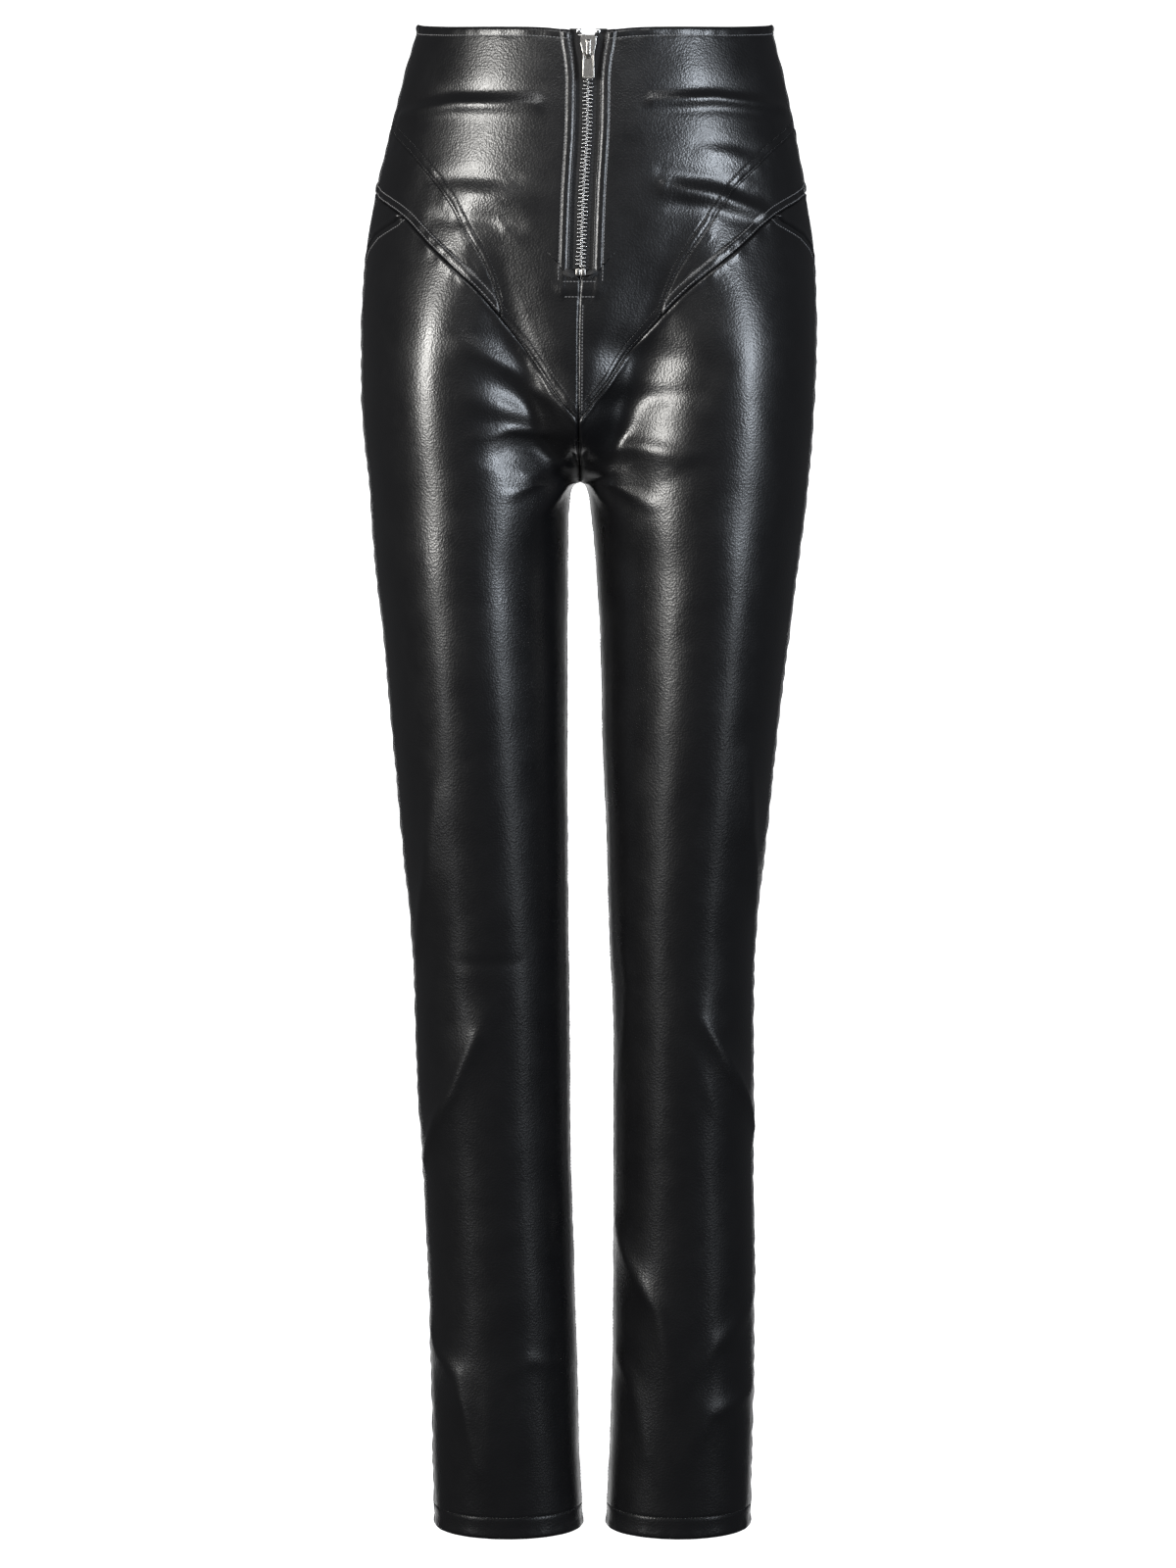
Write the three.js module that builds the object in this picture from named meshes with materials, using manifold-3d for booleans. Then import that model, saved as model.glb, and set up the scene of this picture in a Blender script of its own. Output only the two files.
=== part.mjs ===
// High-waisted slim leather trousers in the shape they take when worn, with a metal front zip.
// Millimetres, +Z up. The origin is the middle of the waist opening, level with its top edge.
// The front faces -Y. "left" and "right" are as seen from the front: left is -X, right is +X.

import * as THREE from 'three';
import { mergeVertices } from 'three/addons/utils/BufferGeometryUtils.js';
import Module from 'manifold-3d';

const wasm = await Module();
wasm.setup();

// Driving dimensions.
const WALL = 1.6;            // leather with its lining
const SEAM_GAP = 0.3;        // clear space between two neighbouring panels
const CROTCH_DROP = 304;     // waist edge down to the crotch point
const SIDE_LENGTH = 1030;    // waist edge down to the hem
const CLEFT_ROUNDING = 17;   // half width over which the front and back run smoothly over the centre plane
const UNTWISTED = 16;        // half width beside the zip that the shear of the thighs leaves alone
const PART_START = 95;       // drop at which the outer thighs begin to take their own form
const PART_END = 245;        // drop at which they have it; near the centre it is the crotch point
const PART_FRONT = 245;      // the same at the centre of the front
const PART_BACK = 215;       // the same at the centre of the back
const WINDOW_END = 166.4;    // drop at which the zip opening ends
const FRONT_SEAMS_MEET = 0.124; // share round the half-waist where the slanting seam meets the V seam

// Body of the garment, by drop below the waist edge.
// Distance from the centre plane x = 0 out to each side line, as worn.
const SIDE_LINE = table(['drop', 'left', 'right'], [
  [0, 115.3, 125.0], [10, 118.6, 127.3], [30, 124.5, 132.6], [60, 132.2, 138.8], [110, 144.4, 148.4],
  [150, 151.2, 153.9], [200, 154.2, 155.2], [250, 153.7, 153.9], [304, 149.2, 150.0], [350, 146.1, 144.7],
  [410, 139.6, 136.9], [477, 133.8, 129.1], [545, 128.0, 122.6], [613, 121.5, 115.4], [647, 119.6, 114.2],
  [715, 117.8, 114.4], [784, 114.0, 114.6], [852, 110.8, 115.5], [921, 109.0, 115.1], [991, 107.8, 113.9],
  [1030, 106.5, 112.7],
]);
// X of the plane that holds the zip, the centre seams and the crotch point.
const CENTRE_LINE = table(['drop', 'x'], [
  [0, 0.3], [60, -0.3], [110, -3.0], [165, -5.0], [200, -6.3], [265, -6.5], [304, -5.3], [1030, -5.3],
]);
// X of each leg's inner edge.
const INNER_LINE = table(['drop', 'left', 'right'], [
  [304, -5.3, -5.3], [306, -9.2, -2.0], [309, -11.2, -0.4], [316, -12.3, 1.2], [330, -13.4, 2.7],
  [350, -13.7, 4.7], [377, -14.1, 6.7], [410, -14.1, 8.7], [477, -14.1, 10.1], [545, -14.1, 12.8],
  [613, -13.6, 14.9], [681, -12.9, 17.6], [750, -12.2, 17.8], [850, -9.6, 17.7], [921, -7.5, 17.0],
  [991, -5.5, 14.3], [1030, -3.4, 12.6],
]);
// Depths as distances from y = 0: front of the garment, its widest line, its back.
const DEPTH = table(['drop', 'front', 'widest', 'back'], [
  [0, 86, 0, 84], [30, 90, 0, 86], [60, 94, 1, 92], [110, 99, 3, 108], [160, 101, 5, 120],
  [200, 101, 6, 125], [250, 99.5, 6, 121], [304, 98, 5, 104], [340, 97, 3, 94], [380, 95, 0, 86],
  [440, 90.5, -3, 78], [510, 83, -4, 70], [580, 74, -3, 64], [650, 65.5, 0, 60], [720, 59, 4, 62],
  [800, 52, 7, 64], [900, 47, 7, 60], [1000, 43, 5, 54], [1030, 42, 5, 53],
]);
// Shear of each thigh: how far its outer side comes forward, as a share of the distance outward.
const SHEAR = table(['drop', 'left', 'right'], [
  [0, 0, 0], [120, 0, 0], [210, -0.11, -0.14], [290, -0.11, -0.14], [340, -0.08, -0.11],
  [420, -0.07, -0.1], [560, -0.03, -0.04], [700, 0, 0], [1030, 0, 0],
]);

// Seam lines: u is the share round one half, 0 centre front, 0.5 side, 1 centre back.
const TOP_EDGE = table(['u', 'drop'], [
  [0, 2.6], [0.12, 0.6], [0.3, -0.8], [0.42, -3], [0.5, -5], [0.75, -3.5], [1, -2.5],
]);
const V_SEAM = table(['u', 'drop'], [
  [0, 260], [0.05, 233], [0.1, 205], [0.124, 192.5], [0.17, 172.5], [0.25, 147], [0.34, 124], [0.42, 114],
  [0.5, 107.5], [0.6, 108.5], [0.75, 120], [0.9, 134], [1, 140],
]);
const SLANT_SEAM = table(['u', 'drop'], [
  [0.124, 192.5], [0.146, 167.5], [0.17, 150.5], [0.2, 134.5], [0.24, 115], [0.28, 101.5], [0.37, 79.5],
  [0.46, 67.5], [0.5, 64],
]);
const SIDE_SEAM = table(['drop', 'u'], [
  [107, 0.31], [124, 0.34], [135, 0.41], [148, 0.47], [166, 0.5], [1030, 0.5],
]);

// Half width of the zip opening between the two leather edges.
const WINDOW_HALF = table(['drop', 'width'], [[0, 12.3], [13, 10.8], [22, 9.2], [37, 8], [170, 8]]);

// Folds: soft ridges (+) and troughs (-) along three points each; side -1 left, +1 right.
const FOLDS = table(
  ['side', 'u1', 'u2', 'u3', 'drop1', 'drop2', 'drop3', 'height', 'width'],
  [
    [-1, 0.449, 0.283, 0.095, 57, 46, 46, -1.8, 9],
    [1, 0.128, 0.249, 0.474, 46, 44, 51, -1.8, 9],
    [1, 0.136, 0.218, 0.311, 106, 111, 123, 1.5, 10],
    [-1, 0.222, 0.16, 0.104, 110, 113, 116, 1.2, 10],
    [-1, 0.178, 0.109, 0.026, 211, 226, 251, 1.8, 10],
    [-1, 0.178, 0.115, 0.037, 246, 254, 268, 1.4, 10],
    [1, 0.026, 0.091, 0.177, 278, 270, 260, 2.0, 10],
    [-1, 0.334, 0.356, 0.428, 514, 562, 626, 1.8, 11],
    [1, 0.352, 0.374, 0.428, 487, 538, 590, 1.8, 11],
    [-1, 0.275, 0.321, 0.433, 669, 711, 769, 2.2, 12],
    [1, 0.28, 0.342, 0.463, 663, 699, 746, 2.2, 12],
    [-1, 0.454, 0.355, 0.307, 894, 918, 981, 2.2, 12],
    [1, 0.052, 0.194, 0.237, 816, 870, 927, 2.2, 12],
    [1, 0.456, 0.302, 0.258, 930, 942, 972, 1.8, 12],
    [-1, 0.64, 0.74, 0.86, 338, 330, 326, -2.6, 15],
    [1, 0.64, 0.74, 0.86, 338, 330, 326, -2.6, 15],
    [-1, 0.56, 0.75, 0.93, 596, 612, 604, -3.0, 13],
    [1, 0.56, 0.75, 0.93, 602, 612, 594, -3.0, 13],
    [-1, 0.58, 0.74, 0.9, 650, 642, 652, -2.2, 12],
    [1, 0.58, 0.76, 0.92, 644, 646, 656, -2.2, 12],
    [-1, 0.6, 0.7, 0.86, 900, 925, 940, 2.0, 13],
    [1, 0.6, 0.72, 0.88, 930, 915, 890, 2.0, 13],
  ],
);

// Zip, in its own frame: distances down the zip from the slider's top, and out from the leather face.
const ZIP = { chainHalfWidth: 3.5, chainBack: -2.3, chainFront: 0.1, chainEnd: 159 };
const TAPE = { innerEdge: 0.3, outerEdge: 12.4, front: -2.6, back: -3.6, start: 1.6, end: 172 };
const BOTTOM_STOP = { from: 159.4, to: 164.6, halfWidth: 3.6, front: 0.7 };
const SLIDER = {
  top: 6.5, length: 16.5, topHalf: 5.2, endHalf: 3.9, plate: 1.4, frontPlate: 0.5, backPlate: -5.3,
};
const BRIDGE = { from: 3.5, to: 15, bar: 1.3, width: 2.6, hollow: 4.6 };
const TAB = {
  axisAt: 12, axisOut: 3.1, above: 0.8, width: 8, length: 18.2, thickness: 1.3, holeWidth: 4, holeEnd: 4.6,
};

// Colours.
const LEATHER = new THREE.MeshStandardMaterial({ color: 0x08080a, roughness: 0.3, metalness: 0 });
const TAPE_CLOTH = new THREE.MeshStandardMaterial({ color: 0x0c0c0d, roughness: 0.85, metalness: 0 });
const METAL = new THREE.MeshStandardMaterial({ color: 0xb9b5ad, roughness: 0.28, metalness: 1 });

// Helpers.

// A table becomes an array of records with the given column names.
function table(columns, rows) {
  return rows.map((row) => Object.fromEntries(columns.map((name, i) => [name, row[i]])));
}

// Smooth monotone curve through one column of a table, as a function of its first column.
function curve(rows, key, value) {
  const x = rows.map((row) => row[key]);
  const y = rows.map((row) => row[value]);
  const last = x.length - 1;
  const step = x.slice(1).map((xi, i) => xi - x[i]);
  const slope = step.map((h, i) => (y[i + 1] - y[i]) / h);
  const tangent = x.map((_, i) => {
    if (i === 0) return slope[0];
    if (i === last) return slope[last - 1];
    if (slope[i - 1] * slope[i] <= 0) return 0;
    const before = 2 * step[i] + step[i - 1];
    const after = step[i] + 2 * step[i - 1];
    return (before + after) / (before / slope[i - 1] + after / slope[i]);
  });
  return (at) => {
    const q = Math.min(Math.max(at, x[0]), x[last]);
    let i = 0;
    while (i < last - 1 && q > x[i + 1]) i += 1;
    const t = (q - x[i]) / step[i];
    const rise = y[i + 1] - y[i];
    const a = tangent[i] * step[i];
    const b = tangent[i + 1] * step[i];
    return y[i] + t * (a + t * (3 * rise - 2 * a - b + t * (a + b - 2 * rise)));
  };
}

const bySide = (rows) => ({ '-1': curve(rows, 'drop', 'left'), 1: curve(rows, 'drop', 'right') });
const sideLine = bySide(SIDE_LINE);
const innerLine = bySide(INNER_LINE);
const shear = bySide(SHEAR);
const centreLine = curve(CENTRE_LINE, 'drop', 'x');
const frontDepth = curve(DEPTH, 'drop', 'front');
const widestDepth = curve(DEPTH, 'drop', 'widest');
const backDepth = curve(DEPTH, 'drop', 'back');
const topEdge = curve(TOP_EDGE, 'u', 'drop');
const vSeam = curve(V_SEAM, 'u', 'drop');
const slantSeam = curve(SLANT_SEAM, 'u', 'drop');
const sideSeam = curve(SIDE_SEAM, 'drop', 'u');
const windowHalf = curve(WINDOW_HALF, 'drop', 'width');

const lerp = (a, b, t) => a + (b - a) * t;
const ease = (t) => {
  const c = Math.min(Math.max(t, 0), 1);
  return c * c * (3 - 2 * c);
};

// Width of the rounding over the centre plane: full above the V seam's point, none at the crotch.
const cleftRounding = (drop) => CLEFT_ROUNDING * (1 - ease((drop - 240) / 52));

// Half of a cross-section at one drop, from the side line to the centre plane or inseam.
// Its depth goes from one wide ellipse over both halves to an ellipse for each leg, the centre last.
function sectionArc(side, drop, isBack) {
  const centre = centreLine(drop);
  const outer = side * (sideLine[side](drop) * side - centre) - SEAM_GAP / 2;
  const widest = widestDepth(drop);
  const depth = isBack ? backDepth(drop) - widest : -(frontDepth(drop) + widest);
  const legs = drop >= CROTCH_DROP;
  const inner = legs ? side * (innerLine[side](drop) - centre) : 0;
  const base = inner * ease((drop - CROTCH_DROP) / 60);
  const half = (outer - base) / 2;
  const middle = (outer + base) / 2;
  const rounding = legs ? 0 : cleftRounding(drop);
  const last = isBack ? PART_BACK : PART_FRONT;
  const count = 72;
  const points = [];
  let length = 0;
  for (let i = 0; i <= count; i += 1) {
    const at = base + half * (1 + Math.cos((Math.PI * i) / count));
    const local = at + (inner - base) * (1 - ease((at - base) / 30));
    const lifted = at + (Math.hypot(at, rounding) - Math.abs(at)) * (1 - ease(at / 90));
    const leg = Math.sqrt(1 - Math.min(Math.max((lifted - middle) / half, -1), 1) ** 2);
    const wide = Math.sqrt(1 - Math.min(at / outer, 1) ** 2);
    const start = last + (PART_START - last) * ease(at / outer / 0.55);
    const end = CROTCH_DROP + (PART_END - CROTCH_DROP) * ease(at / outer / 0.55);
    const share = Math.min(Math.max((drop - start) / (end - start), 0), 1);
    const weight = legs ? 1 : lerp(share ** 2.2, ease(share), ease(at / outer / 0.25));
    const flat = UNTWISTED * (1 - ease((drop - 180) / 60));
    const twist = shear[side](drop) * (local - middle) * ease((local - flat) / 40);
    const x = centre + side * (SEAM_GAP / 2 + local);
    const y = widest + depth * lerp(wide, leg, weight) + twist;
    if (i > 0) length += Math.hypot(x - points[i - 1].x, y - points[i - 1].y);
    points.push({ x, y, length });
  }
  return { points, length };
}

const arcStore = new Map();
function arcAt(side, drop, isBack) {
  const key = `${side}:${drop.toFixed(3)}:${isBack}`;
  if (!arcStore.has(key)) arcStore.set(key, sectionArc(side, drop, isBack));
  return arcStore.get(key);
}

// Point of the smooth form; u outside 0..1 wraps round a leg, or mirrors over the centre plane.
function formPoint(side, uIn, drop) {
  const outside = uIn < 0 || uIn > 1;
  if (outside && drop < CROTCH_DROP) {
    const mirrored = formPoint(side, uIn < 0 ? -uIn : 2 - uIn, drop);
    return new THREE.Vector3(2 * centreLine(drop) - mirrored.x, mirrored.y, mirrored.z);
  }
  const u = outside ? uIn - Math.floor(uIn) : uIn;
  const isBack = u > 0.5;
  const arc = arcAt(side, drop, isBack);
  const along = arc.length * (isBack ? 2 * u - 1 : 1 - 2 * u);
  let i = 1;
  while (i < arc.points.length - 1 && arc.points[i].length < along) i += 1;
  const a = arc.points[i - 1];
  const b = arc.points[i];
  const t = (along - a.length) / (b.length - a.length);
  return new THREE.Vector3(lerp(a.x, b.x, t), lerp(a.y, b.y, t), -drop);
}

// Outward direction of the smooth form.
function formNormal(side, u, drop) {
  const low = drop < CROTCH_DROP ? Math.min(drop + 2, CROTCH_DROP - 0.01) : drop + 2;
  const high = drop < CROTCH_DROP ? drop - 2 : Math.max(drop - 2, CROTCH_DROP);
  const round = formPoint(side, u + 0.012, drop).sub(formPoint(side, u - 0.012, drop));
  const down = formPoint(side, u, low).sub(formPoint(side, u, high));
  return round.cross(down).multiplyScalar(side).normalize().negate();
}

// Height of the folds over the smooth form: each falls off as a bell across its line.
function foldHeight(side, u, drop) {
  const girth = 2 * arcAt(side, drop, u > 0.5).length;
  let height = 0;
  for (const fold of FOLDS) {
    if (fold.side !== side) continue;
    const knots = [1, 2, 3].map((i) => new THREE.Vector2(fold[`u${i}`] * girth, fold[`drop${i}`]));
    const here = new THREE.Vector2(u * girth, drop);
    let nearest = Infinity;
    let place = 0;
    for (let i = 0; i < 2; i += 1) {
      const span = knots[i + 1].clone().sub(knots[i]);
      const t = Math.min(Math.max(here.clone().sub(knots[i]).dot(span) / span.lengthSq(), 0), 1);
      const gap = here.distanceTo(knots[i].clone().addScaledVector(span, t));
      if (gap < nearest) {
        nearest = gap;
        place = (i + t) / 2;
      }
    }
    const fade = 0.45 + 0.55 * Math.sin(Math.PI * place);
    height += fold.height * fade * Math.exp(-((nearest / fold.width) ** 2));
  }
  return height;
}

function geometryFrom(points, faces) {
  const geometry = new THREE.BufferGeometry();
  const flat = points.flatMap((p) => [p.x, p.y, p.z]);
  geometry.setAttribute('position', new THREE.Float32BufferAttribute(flat, 3));
  geometry.setIndex(faces.flat());
  return geometry;
}

// Signed volume, used to turn every body's faces outward.
function signedVolume(points, faces) {
  return faces.reduce((sum, [a, b, c]) => sum + points[a].dot(points[b].clone().cross(points[c])) / 6, 0);
}

// A closed shell from two matching grids of points, outer and inner.
function shellGeometry(outer, inner) {
  const columns = outer.length;
  const rows = outer[0].length;
  const points = [...outer.flat(), ...inner.flat()];
  const half = columns * rows;
  const at = (i, j, layer) => layer * half + i * rows + j;
  const faces = [];
  // Each quad is cut along its shorter diagonal.
  const quad = (a, b, c, d) => {
    if (points[a].distanceTo(points[c]) <= points[b].distanceTo(points[d])) faces.push([a, b, c], [a, c, d]);
    else faces.push([b, c, d], [b, d, a]);
  };
  for (let i = 0; i < columns - 1; i += 1) {
    for (let j = 0; j < rows - 1; j += 1) {
      quad(at(i, j, 0), at(i, j + 1, 0), at(i + 1, j + 1, 0), at(i + 1, j, 0));
      quad(at(i, j, 1), at(i + 1, j, 1), at(i + 1, j + 1, 1), at(i, j + 1, 1));
    }
  }
  for (let i = 0; i < columns - 1; i += 1) {
    quad(at(i, 0, 1), at(i, 0, 0), at(i + 1, 0, 0), at(i + 1, 0, 1));
    quad(at(i, rows - 1, 0), at(i, rows - 1, 1), at(i + 1, rows - 1, 1), at(i + 1, rows - 1, 0));
  }
  for (let j = 0; j < rows - 1; j += 1) {
    quad(at(0, j, 0), at(0, j, 1), at(0, j + 1, 1), at(0, j + 1, 0));
    quad(at(columns - 1, j, 1), at(columns - 1, j, 0), at(columns - 1, j + 1, 0), at(columns - 1, j + 1, 1));
  }
  if (signedVolume(points, faces) < 0) faces.forEach((face) => face.reverse());
  return geometryFrom(points, faces);
}

// A leather panel. place(i, j) gives (u, drop) on the untrimmed panel; trim says which of its
// four edges stand back by half a seam gap; the other edges are free.
function panelGeometry(side, columns, rows, place, trim) {
  const spots = [];
  for (let i = 0; i < columns; i += 1) {
    spots.push([]);
    for (let j = 0; j < rows; j += 1) {
      const [u, drop] = place(i, j);
      spots[i].push({ u, drop, point: formPoint(side, u, drop), normal: formNormal(side, u, drop) });
    }
  }
  const standBack = (spot, inward, before, after, amount) => {
    if (!amount) return [0, 0];
    const across = inward.point.clone().sub(spot.point);
    const along = after.point.clone().sub(before.point);
    const clear = across.clone().cross(along).length() / along.length();
    const share = Math.min(amount / clear, 0.45);
    return [(inward.u - spot.u) * share, (inward.drop - spot.drop) * share];
  };
  const outer = [];
  const inner = [];
  for (let i = 0; i < columns; i += 1) {
    outer.push([]);
    inner.push([]);
    for (let j = 0; j < rows; j += 1) {
      const spot = spots[i][j];
      const up = spots[i][Math.max(j - 1, 0)];
      const down = spots[i][Math.min(j + 1, rows - 1)];
      const left = spots[Math.max(i - 1, 0)][j];
      const right = spots[Math.min(i + 1, columns - 1)][j];
      const shifts = [];
      if (i === 0) shifts.push(standBack(spot, right, up, down, trim.first(j)));
      if (i === columns - 1) shifts.push(standBack(spot, left, up, down, trim.last(j)));
      if (j === 0) shifts.push(standBack(spot, down, left, right, trim.top));
      if (j === rows - 1) shifts.push(standBack(spot, up, left, right, trim.bottom));
      const u = shifts.reduce((sum, shift) => sum + shift[0], spot.u);
      const drop = shifts.reduce((sum, shift) => sum + shift[1], spot.drop);
      const point = formPoint(side, u, drop).addScaledVector(spot.normal, foldHeight(side, u, drop));
      const back = point.clone().addScaledVector(spot.normal, -WALL);
      const least = centreLine(drop) + (side * SEAM_GAP) / 2;
      back.x = side * Math.max(side * back.x, side * least);
      point.x = side * Math.max(side * point.x, side * least);
      outer[i].push(point);
      inner[i].push(back);
    }
  }
  return shellGeometry(outer, inner);
}

function solid(geometry) {
  const bare = geometry.clone();
  bare.deleteAttribute('normal');
  bare.deleteAttribute('uv');
  const merged = mergeVertices(bare, 1e-4);
  const mesh = new wasm.Mesh({
    numProp: 3,
    vertProperties: new Float32Array(merged.attributes.position.array),
    triVerts: new Uint32Array(merged.index.array),
  });
  return new wasm.Manifold(mesh);
}

function solidGeometry(body) {
  const mesh = body.getMesh();
  const geometry = new THREE.BufferGeometry();
  geometry.setAttribute('position', new THREE.BufferAttribute(new Float32Array(mesh.vertProperties), 3));
  geometry.setIndex(new THREE.BufferAttribute(new Uint32Array(mesh.triVerts), 1));
  return geometry;
}

// Panels.

const TRIM = SEAM_GAP / 2;
const group = new THREE.Group();
const sideName = { '-1': 'left', 1: 'right' };

function addMesh(name, geometry, material, parent = group) {
  const mesh = new THREE.Mesh(geometry, material);
  mesh.name = name;
  parent.add(mesh);
  return mesh;
}

// Front upper panel: waist edge down to the slanting seam and the V seam, with the zip opening.
const CENTRE_ROWS = [2.6, 18, 38, 52, 75, 105, 136, WINDOW_END - 1, WINDOW_END + 0.4, 186, 210, 235, 260];
const SLANT_COLUMNS = [0.135, 0.152, 0.17, 0.2, 0.24, 0.285, 0.34, 0.39, 0.445, 0.5];
const CENTRE_COLUMNS = [0, 0.031, 0.062, 0.093, FRONT_SEAMS_MEET, ...SLANT_COLUMNS];
function upperFront(side) {
  const place = (i, j) => {
    const u = CENTRE_COLUMNS[i];
    const share = (CENTRE_ROWS[j] - CENTRE_ROWS[0]) / (260 - CENTRE_ROWS[0]);
    const bottom = u < FRONT_SEAMS_MEET ? vSeam(u) : slantSeam(u);
    const drop = lerp(topEdge(u), bottom, share);
    const edge = CENTRE_ROWS[j] < WINDOW_END
      ? (windowHalf(CENTRE_ROWS[j]) - TRIM) / (2 * arcAt(side, CENTRE_ROWS[j], false).length)
      : 0;
    return [edge + u * (1 - 2 * edge), drop];
  };
  const trim = { first: () => 0, last: () => TRIM, top: 0, bottom: TRIM };
  return panelGeometry(side, CENTRE_COLUMNS.length, CENTRE_ROWS.length, place, trim);
}

// Hip panel: the triangle between the slanting seam and the V seam.
const HIP_COLUMNS = [0.128, ...SLANT_COLUMNS];
function hipPanel(side) {
  const rows = 6;
  const place = (i, j) => {
    const u = HIP_COLUMNS[i];
    return [u, lerp(slantSeam(u), vSeam(u), j / (rows - 1))];
  };
  const trim = { first: () => TRIM, last: () => TRIM, top: TRIM, bottom: TRIM };
  return panelGeometry(side, HIP_COLUMNS.length, rows, place, trim);
}

// Back yoke: waist edge down to the back V seam.
const BACK_COLUMNS = [0.5, 0.56, 0.62, 0.68, 0.74, 0.8, 0.87, 0.935, 1];
function backYoke(side) {
  const rows = 9;
  const place = (i, j) => {
    const u = BACK_COLUMNS[i];
    return [u, lerp(topEdge(u), vSeam(u), j / (rows - 1))];
  };
  const trim = { first: () => TRIM, last: () => 0, top: 0, bottom: TRIM };
  return panelGeometry(side, BACK_COLUMNS.length, rows, place, trim);
}

// Drops of the leg rows under the crotch point, closer together where the legs part.
const LEG_ROWS = [304, 306.5, 311, 319, 331, 348, 370, 395];
const LEG_STEP = 24;
const HIP_SHARES = [0, 0.055, 0.12, 0.19, 0.27, 0.37, 0.5, 0.65, 0.8, 0.92];
const HIP_ROWS = HIP_SHARES.length;
while (LEG_ROWS.at(-1) + LEG_STEP * 1.5 < SIDE_LENGTH) LEG_ROWS.push(LEG_ROWS.at(-1) + LEG_STEP);
LEG_ROWS.push(SIDE_LENGTH);

// Leg panels: V seam down to the hem; the front one ends at the side seam, the back one starts there.
const CORNER = 0.34;         // share round the half where the side seam starts from the V seam
const FRONT_TOP = [0, 0.031, 0.062, 0.093, 0.128, 0.152, 0.17, 0.2, 0.24, 0.285, CORNER];
const BACK_TOP = [CORNER, 0.39, 0.445, ...BACK_COLUMNS];
function legPanel(side, isBack) {
  const tops = isBack ? BACK_TOP : FRONT_TOP;
  const rows = HIP_ROWS + LEG_ROWS.length;
  const place = (i, j) => {
    const s = isBack ? (tops[i] - CORNER) / (1 - CORNER) : tops[i] / CORNER;
    const across = (seam) => (isBack ? lerp(seam, 1, s) : seam * s);
    if (j >= HIP_ROWS) return [across(0.5), LEG_ROWS[j - HIP_ROWS]];
    const u = across(sideSeam(lerp(vSeam(CORNER), CROTCH_DROP, HIP_SHARES[j])));
    return [u, lerp(vSeam(tops[i]), CROTCH_DROP, HIP_SHARES[j])];
  };
  const atInseam = (j) => (j >= HIP_ROWS ? TRIM : 0);
  const trim = isBack
    ? { first: () => TRIM, last: atInseam, top: TRIM, bottom: 0 }
    : { first: atInseam, last: () => TRIM, top: TRIM, bottom: 0 };
  return panelGeometry(side, tops.length, rows, place, trim);
}

for (const side of [-1, 1]) {
  addMesh(`upper_front_${sideName[side]}`, upperFront(side), LEATHER);
  addMesh(`hip_panel_${sideName[side]}`, hipPanel(side), LEATHER);
  addMesh(`back_yoke_${sideName[side]}`, backYoke(side), LEATHER);
  addMesh(`leg_front_${sideName[side]}`, legPanel(side, false), LEATHER);
  addMesh(`leg_back_${sideName[side]}`, legPanel(side, true), LEATHER);
}

// Zip parts.

// Point beside the zip: offset from its centre line, drop down it, lift out of the leather's face.
function zipPoint(offset, drop, lift) {
  const y = (at) => formPoint(1, 0, at).y;
  const slope = (y(drop + 3) - y(Math.max(drop - 3, 0))) / (drop + 3 - Math.max(drop - 3, 0));
  const out = new THREE.Vector3(0, -1, -slope).normalize();
  return new THREE.Vector3(centreLine(drop) + offset, y(drop), -drop).addScaledVector(out, lift);
}

// How far each row of teeth stands off the centre line as it parts above the slider.
const parting = curve(
  table(['drop', 'offset'], [[0, 6], [4, 4.4], [10, 1.75], [16, 0.15], [200, 0.15]]),
  'drop',
  'offset',
);

// A strip along the zip: span(drop) gives its inner and outer offset and its back and front lift.
function zipStrip(side, drops, span) {
  const grid = (key) => [0, 1].map((i) => drops.map((drop) => {
    const { edges, lifts } = span(drop);
    return zipPoint(side * edges[i], drop, lifts[key]);
  }));
  return shellGeometry(grid(1), grid(0));
}

const CHAIN_DROPS = [1.8, 4, 5.2, 7, 10, 13, 16, 22, 45, 70, 95, 120, 140, ZIP.chainEnd];
const TAPE_DROPS = [TAPE.start, 4, 7, 10, 13, 16, 22, 45, 70, 95, 120, 140, 160, TAPE.end];
for (const side of [-1, 1]) {
  const chain = zipStrip(side, CHAIN_DROPS, (drop) => ({
    edges: [parting(drop), parting(drop) + ZIP.chainHalfWidth - 0.15],
    lifts: [ZIP.chainBack, drop < 5 ? ZIP.chainFront + 0.8 : ZIP.chainFront],
  }));
  const tape = zipStrip(side, TAPE_DROPS, (drop) => ({
    edges: [parting(drop) + TAPE.innerEdge, TAPE.outerEdge],
    lifts: [TAPE.back, TAPE.front],
  }));
  addMesh(`zip_teeth_${sideName[side]}`, chain, METAL);
  addMesh(`zip_tape_${sideName[side]}`, tape, TAPE_CLOTH);
}

const stopDrops = [BOTTOM_STOP.from, BOTTOM_STOP.to];
const stopGrid = (lift) => [-1, 1].map((i) => (
  stopDrops.map((drop) => zipPoint(i * BOTTOM_STOP.halfWidth, drop, lift))
));
addMesh('zip_bottom_stop', shellGeometry(stopGrid(BOTTOM_STOP.front), stopGrid(ZIP.chainBack)), METAL);

// The slider and its tab share a frame: origin on the leather's face at the slider's top end,
// -Z down along the zip, -Y out of the leather.
const sliderFrame = new THREE.Group();
const sliderTop = zipPoint(0, SLIDER.top, 0);
const sliderEnd = zipPoint(0, SLIDER.top + SLIDER.length, 0);
sliderFrame.position.copy(sliderTop);
sliderFrame.rotation.x = Math.atan2(sliderEnd.y - sliderTop.y, sliderTop.z - sliderEnd.z);
group.add(sliderFrame);

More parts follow.
